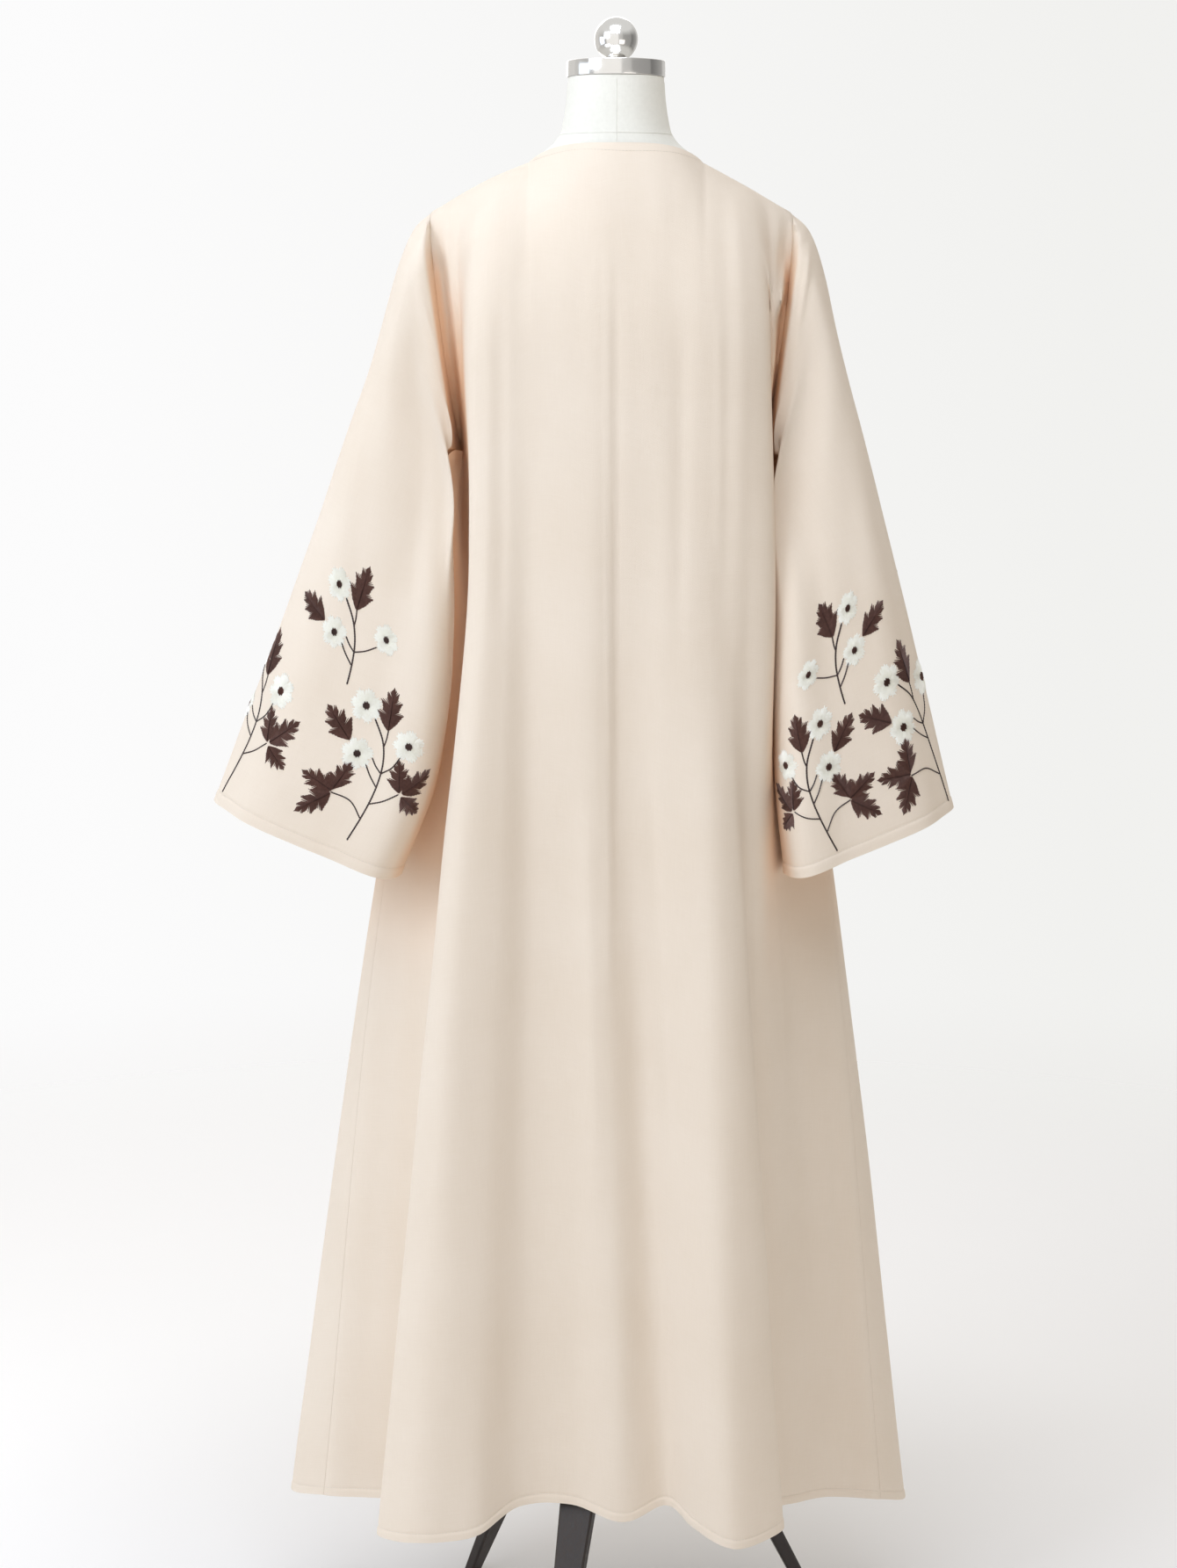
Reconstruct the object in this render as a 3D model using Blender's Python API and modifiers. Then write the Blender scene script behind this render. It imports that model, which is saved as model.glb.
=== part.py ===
"""Abaya cloak worn by a limbless dress form on a three-legged wooden stand.

Metres, +Z up. The floor is z = 0 and the origin is on it, under the middle of the whole object.
The cloak's front faces -Y and its plain back faces +Y, so +X is the wearer's left.
Every cloth panel is a wall CLOTH thick. It is worked out as a grid of points on its outer face, from a
table of columns: each column is a line of cloth from the shoulder or neckline down to the hem, and the
columns are the crests, edges and valleys of the folds.
"""

import math
from collections import defaultdict, namedtuple

import bmesh
import bpy
import numpy as np
from mathutils import Vector

# ---------------------------------------------------------------- driving sizes
CLOTH = 0.0016  # thickness of every cloth wall
SEAM_GAP = 0.0006  # between two panels along the seam that joins them
MATING_GAP = 0.0004  # between two hard pieces that rest on each other

# Levels of the cloak, as heights above the floor.
CHEST_Z = 1.378
UNDERARM_Z = 1.278
WAIST_Z = 1.128
HIP_Z = 0.868

# Neckline and shoulder line.
NECK_HALF_WIDTH = 0.086
NECK_POINT_Y = -0.005
NECK_POINT_Z = 1.562
BACK_NECK_RISE = 0.016
FRONT_NECK_DROP = 0.082
# The neckline is cut in cloth that would meet the shoulder ridge this much higher (behind) or lower
# (in front) at the middle of the neck than at the neck points.
BACK_RIDGE_RISE = 0.053
FRONT_RIDGE_DROP = 0.046
SHOULDER_TIP_Y = -0.008

# The tables measure x and y from the form's axis. The middle of the whole object is here, and the object
# is moved to put it at the origin.
MIDDLE_X = 0.0320
MIDDLE_Y = 0.0195

MITRE_LIMIT = 0.45  # at a sharp meeting, the cloth is at most CLOTH / MITRE_LIMIT thick across it

# Rows and columns of cloth points.
ARMHOLE_ROWS = 12
SKIRT_ROWS = 13
STEPS_PER_SPAN = 3
SLEEVE_STEPS_PER_RING = 3

# The armhole of each side: its highest point on the shoulder, how far the shoulder seam bows up on the
# way to it, how far its sides swell away from the neck, and how far it reaches to the back and front.
Armhole = namedtuple("Armhole", "tip_x tip_z shoulder_bow swell back_reach front_reach")
ARMHOLES = {
    "left": Armhole(0.183, 1.5135, 0.0040, 0.003, 0.062, 0.044),
    "right": Armhole(-0.174, 1.5130, 0.0012, 0.003, 0.062, 0.044),
}
# How much of the armhole's pull reaches the columns of cloth 0, 1, 2, 3 ... spans from the side seam.
ARMHOLE_PULL = [1.0, 0.42, 0.16, 0.04, 0.0]

# One row is one line of cloth from the top edge to the hem.
Column = namedtuple(
    "Column", "name top_x chest_x chest_y waist_x waist_y hip_x hip_y hem_x hem_y hem_z"
)
SEAM_LEFT = Column(
    "seam_left", 0.183, 0.146, -0.010, 0.177, -0.022, 0.233, -0.004, 0.309, 0.020, 0.176
)
SEAM_RIGHT = Column(
    "seam_right", -0.174, -0.139, -0.010, -0.170, -0.024, -0.217, -0.002, -0.284, 0.022, 0.172
)
BACK_COLUMNS = [
    Column("side_left", 0.172, 0.149, 0.045, 0.160, 0.006, 0.207, 0.020, 0.262, 0.036, 0.180),
    Column("recess_left", 0.157, 0.149, 0.066, 0.146, 0.042, 0.174, 0.046, 0.219, 0.052, 0.184),
    Column("fold_a_wall", 0.144, 0.147, 0.086, 0.139, 0.078, 0.160, 0.088, 0.216, 0.096, 0.184),
    Column("fold_a_edge", 0.131, 0.142, 0.102, 0.145, 0.107, 0.173, 0.120, 0.242, 0.134, 0.185),
    Column("fold_a_crest", 0.115, 0.127, 0.112, 0.131, 0.122, 0.155, 0.142, 0.208, 0.172, 0.193),
    Column("fold_a_slope", 0.100, 0.106, 0.114, 0.108, 0.121, 0.118, 0.138, 0.142, 0.168, 0.198),
    Column("valley_ab", 0.086, 0.086, 0.115, 0.085, 0.117, 0.086, 0.124, 0.098, 0.140, 0.217),
    Column("flat_b", 0.064, 0.055, 0.118, 0.054, 0.121, 0.052, 0.127, 0.045, 0.137, 0.218),
    Column("ridge_b", 0.030, 0.024, 0.120, 0.022, 0.124, 0.016, 0.133, -0.009, 0.152, 0.206),
    Column("valley_bc", -0.018, -0.012, 0.118, -0.013, 0.119, -0.018, 0.124, -0.054, 0.135, 0.216),
    Column("fold_c_rise", -0.060, -0.048, 0.118, -0.048, 0.122, -0.052, 0.132, -0.080, 0.156, 0.202),
    Column("fold_c_crest", -0.086, -0.084, 0.116, -0.082, 0.123, -0.091, 0.142, -0.120, 0.178, 0.189),
    Column("fold_c_edge", -0.104, -0.106, 0.111, -0.105, 0.116, -0.121, 0.130, -0.170, 0.140, 0.192),
    Column("valley_cd", -0.118, -0.124, 0.106, -0.124, 0.109, -0.131, 0.108, -0.168, 0.084, 0.190),
    Column("ridge_d", -0.133, -0.144, 0.090, -0.147, 0.092, -0.151, 0.090, -0.194, 0.052, 0.183),
    Column("recess_right", -0.147, -0.147, 0.066, -0.147, 0.046, -0.171, 0.044, -0.222, 0.032, 0.179),
    Column("side_right", -0.161, -0.142, 0.045, -0.151, 0.008, -0.195, 0.020, -0.250, 0.024, 0.175),
]
# The front panels are cut alike: this is the left one, from the side seam to the centre front edge.
FRONT_COLUMNS = [
    Column("side_fold", 0.170, 0.153, -0.056, 0.192, -0.064, 0.244, -0.046, 0.348, -0.026, 0.164),
    Column("side_front", 0.150, 0.143, -0.084, 0.167, -0.098, 0.208, -0.100, 0.300, -0.112, 0.178),
    Column("valley_side", 0.122, 0.126, -0.106, 0.138, -0.124, 0.164, -0.126, 0.226, -0.134, 0.180),
    Column("bust_crest", 0.086, 0.094, -0.120, 0.104, -0.139, 0.124, -0.152, 0.164, -0.192, 0.176),
    Column("valley_front", 0.079, 0.064, -0.121, 0.070, -0.136, 0.080, -0.142, 0.106, -0.152, 0.180),
    Column("front_ridge", 0.045, 0.034, -0.122, 0.038, -0.140, 0.044, -0.150, 0.056, -0.178, 0.178),
    Column("centre_front", 0.0015, 0.0015, -0.121, 0.0015, -0.138, 0.002, -0.146, 0.003, -0.166, 0.179),
]
# The right front hangs a little narrower, level by level, and a little lower.
RIGHT_FRONT_SCALE = {"chest": 0.96, "waist": 0.94, "hip": 0.92, "hem": 0.905}
RIGHT_FRONT_DROP = 0.010

# Sleeve rings after the armhole, each by its outer and its inner end and by half its depth front to back.
# twist_deg is how far the line of cloth from the underarm has moved from the inner end to the front.
Ring = namedtuple(
    "Ring", "name outer_x outer_y outer_z inner_x inner_y inner_z half_depth twist_deg"
)
CAP_OUT_AT_TIP = 0.018  # the first ring stands this far out from the armhole
CAP_OUT_AT_UNDERARM = 0.013
CAP_BACK = 0.008  # and this far behind and before its sides
CAP_DROP_AT_TIP = 0.018
CAP_DROP_AT_UNDERARM = 0.006
SLEEVE_BACK_SQUARENESS = 3.0  # 2 is half an ellipse; more makes the back flatter and its ends tighter
SLEEVES = {
    "left": [
        Ring("upper_arm", 0.240, 0.016, 1.372, 0.166, 0.022, 1.210, 0.057, 28),
        Ring("elbow", 0.285, 0.026, 1.238, 0.161, 0.058, 1.120, 0.048, 32),
        Ring("forearm", 0.326, 0.030, 1.126, 0.166, 0.068, 1.030, 0.048, 22),
        Ring("wrist", 0.367, 0.030, 1.024, 0.183, 0.074, 0.940, 0.050, 10),
        Ring("cuff", 0.402, 0.030, 0.933, 0.217, 0.070, 0.860, 0.054, 0),
    ],
    "right": [
        Ring("upper_arm", -0.224, 0.016, 1.372, -0.159, 0.022, 1.210, 0.055, 28),
        Ring("elbow", -0.256, 0.026, 1.238, -0.156, 0.060, 1.120, 0.046, 32),
        Ring("forearm", -0.288, 0.030, 1.122, -0.157, 0.070, 1.030, 0.046, 22),
        Ring("wrist", -0.314, 0.030, 1.020, -0.161, 0.078, 0.940, 0.047, 10),
        Ring("cuff", -0.338, 0.030, 0.926, -0.170, 0.074, 0.861, 0.050, 0),
    ],
}
# Soft folds down each sleeve. Turn 0 is the outer side, 90 the back, 180 the inner side and 270 the front.
SleeveFold = namedtuple("SleeveFold", "name turn_deg width_deg depth_at_elbow depth_at_cuff")
SLEEVE_FOLDS = [
    SleeveFold("back_valley", 104, 20, -0.007, -0.006),
    SleeveFold("inner_ridge", 138, 20, 0.004, 0.004),
    SleeveFold("outer_valley", 42, 20, -0.003, -0.006),
    SleeveFold("front_valley", 250, 26, -0.006, -0.009),
    SleeveFold("front_ridge", 292, 24, 0.003, 0.007),
]

# Dress form. Each section is a rounded oval, by its half width and its reach to the front and the back.
Section = namedtuple("Section", "name z half_width front_reach back_reach")
FORM_SIDES = 28
FORM_ROUNDNESS = 2.15  # 2 is an ellipse, and more is squarer
FORM_SECTIONS = [
    Section("underside", 0.838, 0.158, 0.092, 0.098),
    Section("seat", 0.878, 0.165, 0.097, 0.106),
    Section("hip", 0.928, 0.166, 0.100, 0.110),
    Section("high_hip", 0.998, 0.153, 0.098, 0.104),
    Section("tummy", 1.063, 0.134, 0.092, 0.093),
    Section("waist", 1.128, 0.120, 0.088, 0.084),
    Section("ribs", 1.188, 0.126, 0.098, 0.089),
    Section("under_bust", 1.243, 0.135, 0.111, 0.096),
    Section("bust", 1.290, 0.138, 0.112, 0.098),
    Section("chest", 1.333, 0.140, 0.108, 0.099),
    Section("blades", 1.378, 0.145, 0.097, 0.099),
    Section("armhole", 1.418, 0.154, 0.086, 0.095),
    Section("shoulder_end", 1.458, 0.164, 0.076, 0.086),
    Section("shoulder_round", 1.480, 0.163, 0.069, 0.079),
    Section("shoulder_low", 1.498, 0.153, 0.064, 0.074),
    Section("shoulder_mid", 1.516, 0.134, 0.057, 0.069),
    Section("shoulder_high", 1.535, 0.108, 0.052, 0.065),
    Section("neck_slope", 1.555, 0.084, 0.050, 0.0605),
    Section("neck_root", 1.568, 0.076, 0.050, 0.0575),
    Section("neck_base", 1.578, 0.0635, 0.0500, 0.0550),
    Section("neck_seam", 1.588, 0.0555, 0.0500, 0.0520),
    Section("neck_low", 1.602, 0.0515, 0.0495, 0.0495),
    Section("neck_mid", 1.622, 0.0485, 0.0480, 0.0480),
    Section("neck_top", 1.643, 0.0470, 0.0470, 0.0470),
]
NECK_TOP_Z = 1.643

# Neck cap, a metal disc, and the ball on it.
CAP_RADIUS = 0.0485
CAP_HEIGHT = 0.0155
CAP_EDGE = 0.0010
CAP_SIDES = 40
COLLAR_RADIUS = 0.0115
COLLAR_HEIGHT = 0.0025
BALL_RADIUS = 0.0215
BALL_RINGS = 14
BALL_SIDES = 28

# Stand.
POLE_RADIUS = 0.0140
POLE_SIDES = 20
HUB_NECK_RADIUS = 0.022
HUB_RADIUS = 0.034
HUB_TOP_Z = 0.415
HUB_BOTTOM_Z = 0.300
HUB_EDGE = 0.010
HUB_SIDES = 24
LEG_COUNT = 3
LEG_TURN = math.radians(-17)  # the first leg points this far round from +Y, towards +X
LEG_TOP_RADIUS = 0.0350  # from the pole's axis to the back of a leg, at its top
LEG_FOOT_RADIUS = 0.2270  # and at its foot
LEG_TOP_Z = 0.372
LEG_TOP_WIDTH = 0.051
LEG_FOOT_WIDTH = 0.016
LEG_TOP_DEPTH = 0.022
LEG_FOOT_DEPTH = 0.014
LEG_EDGE = 0.0020

# Material name: base colour, metallic, roughness.
MATERIALS = {
    "cream_cloth": ((0.78, 0.69, 0.59), 0.0, 0.85),
    "form_cover": ((0.84, 0.82, 0.74), 0.0, 0.90),
    "polished_steel": ((0.80, 0.79, 0.77), 1.0, 0.10),
    "pole_steel": ((0.55, 0.55, 0.55), 1.0, 0.30),
    "dark_wood": ((0.035, 0.024, 0.020), 0.0, 0.35),
}


# ---------------------------------------------------------------- scene helpers
def clear_scene():
    for obj in list(bpy.data.objects):
        bpy.data.objects.remove(obj)


def make_collection(name):
    collection = bpy.data.collections.new(name)
    bpy.context.scene.collection.children.link(collection)
    return collection


def make_materials():
    made = {}
    for name, (colour, metallic, roughness) in MATERIALS.items():
        material = bpy.data.materials.new(name)
        material.use_nodes = True
        shader = material.node_tree.nodes["Principled BSDF"]
        shader.inputs["Base Color"].default_value = (*colour, 1.0)
        shader.inputs["Metallic"].default_value = metallic
        shader.inputs["Roughness"].default_value = roughness
        made[name] = material
    return made


def add_object(name, bm, material, collection, smooth=True):
    mesh = bpy.data.meshes.new(name)
    bm.to_mesh(mesh)
    bm.free()
    mesh.materials.append(material)
    if smooth:
        mesh.shade_smooth()
    obj = bpy.data.objects.new(name, mesh)
    collection.objects.link(obj)
    return obj


def placed_grid(points, closed=False):
    """A grid whose point in column c of row r is points[r][c]. A closed one is a tube: its last column
    meets its first. The faces look outwards where the rows run down and the columns run to the right."""
    rows, columns = len(points), len(points[0])
    bm = bmesh.new()
    bmesh.ops.create_grid(bm, x_segments=columns - 1, y_segments=rows - 1, size=0.5)
    for vert in bm.verts:
        column = round((vert.co.x + 0.5) * (columns - 1))
        row = round((0.5 - vert.co.y) * (rows - 1))
        vert.co = Vector(points[row][column])
    if closed:
        bmesh.ops.remove_doubles(bm, verts=bm.verts[:], dist=1e-6)
    return bm


# ---------------------------------------------------------------- curves
def mix(a, b, share):
    return a + (b - a) * share


def passing_curve(before, start, end, after, knots, share):
    """The point at that share of the span from start to end on a centripetal Catmull-Rom curve."""
    k0, k1, k2, k3 = knots
    at = mix(k1, k2, share)
    a1 = mix(before, start, (at - k0) / (k1 - k0))
    a2 = mix(start, end, (at - k1) / (k2 - k1))
    a3 = mix(end, after, (at - k2) / (k3 - k2))
    b1 = mix(a1, a2, (at - k0) / (k2 - k0))
    b2 = mix(a2, a3, (at - k1) / (k3 - k1))
    return mix(b1, b2, (at - k1) / (k2 - k1))


def curve_through(stations, steps, spacing):
    """Rows of values on a smooth curve through the stations, with that many steps in each span.
    spacing gives the length of each span, whose square root spaces the knots."""
    values = [2 * stations[0] - stations[1], *stations, 2 * stations[-1] - stations[-2]]
    gaps = [spacing[0], *spacing, spacing[-1]]
    knots = np.concatenate([[0], np.cumsum(np.sqrt(gaps))])
    rows = []
    for span in range(len(stations) - 1):
        around = values[span : span + 4]
        for step in range(steps):
            rows.append(passing_curve(*around, knots[span : span + 4], step / steps))
    rows.append(np.array(stations[-1], float))
    return rows


def height_curve(z, heights, values):
    """A smooth value at height z through values at falling heights, level at the highest."""
    slopes = [
        (values[i + 1] - values[i]) / (heights[i + 1] - heights[i]) for i in range(len(heights) - 1)
    ]
    tangents = [0.0]
    tangents += [(a + b) / 2 for a, b in zip(slopes, slopes[1:])]
    tangents.append(slopes[-1])
    span = 0
    while span < len(slopes) - 1 and z < heights[span + 1]:
        span += 1
    drop = heights[span + 1] - heights[span]
    t = (z - heights[span]) / drop
    return (
        (2 * t**3 - 3 * t**2 + 1) * values[span]
        + (t**3 - 2 * t**2 + t) * drop * tangents[span]
        + (3 * t**2 - 2 * t**3) * values[span + 1]
        + (t**3 - t**2) * drop * tangents[span + 1]
    )


# ---------------------------------------------------------------- cloak body
def side_of(x):
    return "left" if x > 0 else "right"


def shoulder_share(x):
    """How far x is along the shoulder seam: 0 at the neck point and 1 at the armhole."""
    return (abs(x) - NECK_HALF_WIDTH) / (abs(ARMHOLES[side_of(x)].tip_x) - NECK_HALF_WIDTH)


def top_z(x, face):
    """The height of the cloak's top edge at x: the neckline, and outside it the shoulder seam.
    face is 1 on the back and -1 on the front."""
    share = shoulder_share(x)
    if share >= 0:
        hole = ARMHOLES[side_of(x)]
        return mix(NECK_POINT_Z, hole.tip_z, share) + hole.shoulder_bow * math.sin(math.pi * share)
    outward_share = abs(x) / NECK_HALF_WIDTH
    if face > 0:
        return NECK_POINT_Z + BACK_NECK_RISE * (1 - outward_share**4)
    return NECK_POINT_Z - FRONT_NECK_DROP * (1 - outward_share**2.5)


def ridge(x, face):
    """(y, z) at which the cloth at x meets, or uncut would meet, the ridge of the shoulders."""
    share = shoulder_share(x)
    if share >= 0:
        return mix(NECK_POINT_Y, SHOULDER_TIP_Y, share), top_z(x, face)
    round_in = 1 - (x / NECK_HALF_WIDTH) ** 2
    rise = BACK_RIDGE_RISE if face > 0 else -FRONT_RIDGE_DROP
    return NECK_POINT_Y, NECK_POINT_Z + rise * round_in


def hang(column, face, z):
    """The point of a column of cloth at height z."""
    if z < CHEST_Z:
        heights = (CHEST_Z, WAIST_Z, HIP_Z, column.hem_z)
        xs = (column.chest_x, column.waist_x, column.hip_x, column.hem_x)
        ys = (column.chest_y, column.waist_y, column.hip_y, column.hem_y)
        return Vector((height_curve(z, heights, xs), height_curve(z, heights, ys), z))
    x_share = ((z - CHEST_Z) / (top_z(column.top_x, face) - CHEST_Z)) ** 2
    ridge_y, ridge_z = ridge(column.top_x, face)
    rise = (z - CHEST_Z) / (ridge_z - CHEST_Z)
    over_shoulder = math.sqrt(max(0.0, 1 - rise**2))
    return Vector(
        (mix(column.chest_x, column.top_x, x_share), mix(ridge_y, column.chest_y, over_shoulder), z)
    )


def armhole_point(seam, face, share):
    """The armhole seam from the shoulder tip, at share 0, to the underarm, at share 1."""
    hole = ARMHOLES[side_of(seam.top_x)]
    underarm = hang(seam, face, UNDERARM_Z)
    tip = Vector((hole.tip_x, SHOULDER_TIP_Y, hole.tip_z))
    fall = (1 - math.cos(math.pi * share)) / 2
    out = math.sin(math.pi * share)
    point = tip.lerp(underarm, fall)
    point.x += math.copysign(hole.swell, hole.tip_x) * out
    point.y += (hole.back_reach if face > 0 else -hole.front_reach) * out
    return point


def row_shares():
    """How each row of points is placed: ("armhole", fall) above the underarm, ("skirt", fall) below it."""
    upper = [("armhole", i / ARMHOLE_ROWS) for i in range(ARMHOLE_ROWS + 1)]
    lower = [("skirt", i / SKIRT_ROWS) for i in range(1, SKIRT_ROWS + 1)]
    return upper + lower


def body_point(column, face, zone, share, seams):
    """A point of the body's cloth. Near a side seam, the armhole pulls the cloth to its own curve.
    seams is a list of (seam column, how many spans away it is)."""
    if zone == "skirt":
        return hang(column, face, mix(UNDERARM_Z, column.hem_z, share))
    fall = (1 - math.cos(math.pi * share)) / 2
    point = hang(column, face, mix(top_z(column.top_x, face), UNDERARM_Z, fall))
    for seam, spans in seams:
        strength = np.interp(spans, range(len(ARMHOLE_PULL)), ARMHOLE_PULL) ** (1 + 1.6 * share**2)
        if strength > 0:
            seam_z = mix(top_z(seam.top_x, face), UNDERARM_Z, fall)
            point += (armhole_point(seam, face, share) - hang(seam, face, seam_z)) * strength
    return point


def right_front(column):
    """The right front's column. Its shoulder is as long as the right armhole leaves it."""
    beyond = max(0.0, column.top_x - NECK_HALF_WIDTH)
    left, right = abs(ARMHOLES["left"].tip_x), abs(ARMHOLES["right"].tip_x)
    shorter = (right - NECK_HALF_WIDTH) / (left - NECK_HALF_WIDTH)
    moved = {"top_x": -(column.top_x - beyond + beyond * shorter)}
    moved["hem_z"] = column.hem_z - RIGHT_FRONT_DROP
    for level, scale in RIGHT_FRONT_SCALE.items():
        moved[level + "_x"] = -getattr(column, level + "_x") * scale
    return column._replace(**moved)


def body_columns():
    """Every column of cloth round the body, from the left centre front over the back to the right one,
    with STEPS_PER_SPAN steps between neighbours in the tables."""
    controls = [
        *reversed(FRONT_COLUMNS),
        SEAM_LEFT,
        *BACK_COLUMNS,
        SEAM_RIGHT,
        *map(right_front, FRONT_COLUMNS),
    ]
    values = [np.array(column[1:], float) for column in controls]
    spans = [
        math.dist((a.hem_x, a.hem_y), (b.hem_x, b.hem_y)) for a, b in zip(controls, controls[1:])
    ]
    rows = curve_through(values, STEPS_PER_SPAN, spans)
    steps = np.arange(len(rows)) / STEPS_PER_SPAN
    tops = np.interp(steps, range(len(controls)), [column.top_x for column in controls])
    return [Column("cloth", *row)._replace(top_x=top) for row, top in zip(rows, tops)]


def body_panels():
    """{panel name: grid of points} of the two fronts and the back."""
    columns = body_columns()
    left_seam = len(FRONT_COLUMNS) * STEPS_PER_SPAN
    right_seam = left_seam + (len(BACK_COLUMNS) + 1) * STEPS_PER_SPAN
    pieces = {
        "front_left": (0, left_seam, -1),
        "back": (left_seam, right_seam, 1),
        "front_right": (right_seam, len(columns) - 1, -1),
    }
    panels = {}
    for name, (first, last, face) in pieces.items():
        grid = []
        for zone, share in row_shares():
            row = []
            for index in range(first, last + 1):
                seams = [
                    (SEAM_LEFT, abs(index - left_seam) / STEPS_PER_SPAN),
                    (SEAM_RIGHT, abs(index - right_seam) / STEPS_PER_SPAN),
                ]
                row.append(body_point(columns[index], face, zone, share, seams))
            grid.append(row)
        panels[name] = grid
    return panels


# ---------------------------------------------------------------- sleeves
def armhole_ring(seam):
    """The armhole all round: over the back from the shoulder tip to the underarm, and up the front."""
    shares = [i / ARMHOLE_ROWS for i in range(ARMHOLE_ROWS + 1)]
    back = [armhole_point(seam, 1, share) for share in shares]
    front = [armhole_point(seam, -1, share) for share in reversed(shares)]
    return back + front[1:]


def cap_ring(ring, side):
    """The ring just outside the armhole, where the sleeve turns down."""
    count = len(ring) - 1
    moved = []
    for index, point in enumerate(ring):
        turn = 2 * math.pi * index / count
        near_tip = (1 + math.cos(turn)) / 2
        out = mix(CAP_OUT_AT_UNDERARM, CAP_OUT_AT_TIP, near_tip)
        drop = mix(CAP_DROP_AT_UNDERARM, CAP_DROP_AT_TIP, near_tip)
        moved.append(point + Vector((out * side, CAP_BACK * math.sin(turn), -drop)))
    return moved


def fold_depth(turn, growth):
    """How far the sleeve's folds move the cloth out at this turn. growth is 0 at the elbow, 1 at the cuff."""
    depth = 0.0
    for fold in SLEEVE_FOLDS:
        apart = (turn - math.radians(fold.turn_deg) + math.pi) % (2 * math.pi) - math.pi
        width = math.radians(fold.width_deg)
        depth += mix(fold.depth_at_elbow, fold.depth_at_cuff, growth) * math.exp(-((apart / width) ** 2))
    return depth


def oval_ring(ring, side, count, growth):
    """The points of one ring of the sleeve. growth is how far its folds have grown, or None for no folds."""
    outer = Vector((ring.outer_x, ring.outer_y, ring.outer_z))
    inner = Vector((ring.inner_x, ring.inner_y, ring.inner_z))
    centre, reach = (outer + inner) / 2, (outer - inner) / 2
    depth = Vector((-reach.y, reach.x, 0)).normalized() * side
    points = []
    for index in range(count):
        turn = 2 * math.pi * index / (count - 1)
        turn += math.radians(ring.twist_deg) * math.sin(turn / 2) ** 2
        push = 0.0 if growth is None else fold_depth(turn, growth)
        cosine, sine = math.cos(turn), math.sin(turn)
        if sine > 0:
            cosine = math.copysign(abs(cosine) ** (2 / SLEEVE_BACK_SQUARENESS), cosine)
            sine **= 2 / SLEEVE_BACK_SQUARENESS
        across = (reach + reach.normalized() * push) * cosine
        points.append(centre + across + depth * (ring.half_depth + push) * sine)
    return points


def sleeve_grid(seam):
    """Rows of points down one sleeve, from the armhole to the cuff."""
    name = side_of(seam.top_x)
    side = 1 if name == "left" else -1
    top = armhole_ring(seam)
    rings = [top, cap_ring(top, side)]
    sections = SLEEVES[name]
    for index, ring in enumerate(sections):
        growth = (index - 1) / (len(sections) - 2) if index else None
        rings.append(oval_ring(ring, side, len(top), growth))
    spans = [(rings[i][0] - rings[i + 1][0]).length for i in range(len(rings) - 1)]
    columns = []
    for index in range(len(top)):
        stations = [np.array(ring[index]) for ring in rings]
        columns.append(curve_through(stations, SLEEVE_STEPS_PER_RING, spans))
    rows = [[Vector(point) for point in row] for row in zip(*columns)]
    rows[0] = top
    for row in rows:
        row[-1] = row[0].copy()
    return rows if side > 0 else [row[::-1] for row in rows]


# ---------------------------------------------------------------- cloth walls
def outward(points, closed):
    """The direction out of the cloth at every point of a grid."""
    last = len(points[0]) - 1
    result = []
    for r, row in enumerate(points):
        above, below = points[max(r - 1, 0)], points[min(r + 1, len(points) - 1)]
        directions = []
        for c in range(len(row)):
            before = (c - 1) % last if closed else max(c - 1, 0)
            after = (c + 1) % last if closed else min(c + 1, last)
            directions.append((row[after] - row[before]).cross(above[c] - below[c]).normalized())
        result.append(directions)
    return result


def place_of(point):
    return tuple(round(value, 6) for value in point)


def on_shoulder(row, point):
    return row == 0 and abs(point.x) >= NECK_HALF_WIDTH - 1e-6


def away_from_edges(points, out, row, column, closed):
    """The direction, in the cloth, away from the top edge and the side edges that a point is on."""
    point, normal = points[row][column], out[row][column]
    last_row, last_column = len(points) - 1, len(points[0]) - 1
    away = Vector()
    if row == 0:
        before = points[0][(column - 1) % last_column if closed else max(column - 1, 0)]
        after = points[0][(column + 1) % last_column if closed else min(column + 1, last_column)]
        across = normal.cross(after - before).normalized()
        away += across * math.copysign(1, across.dot(points[1][column] - point))
    if not closed and column in (0, last_column):
        above, below = points[max(row - 1, 0)][column], points[min(row + 1, last_row)][column]
        across = normal.cross(below - above).normalized()
        neighbour = points[row][1 if column == 0 else last_column - 1]
        away += across * math.copysign(1, across.dot(neighbour - point))
    return away


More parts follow.
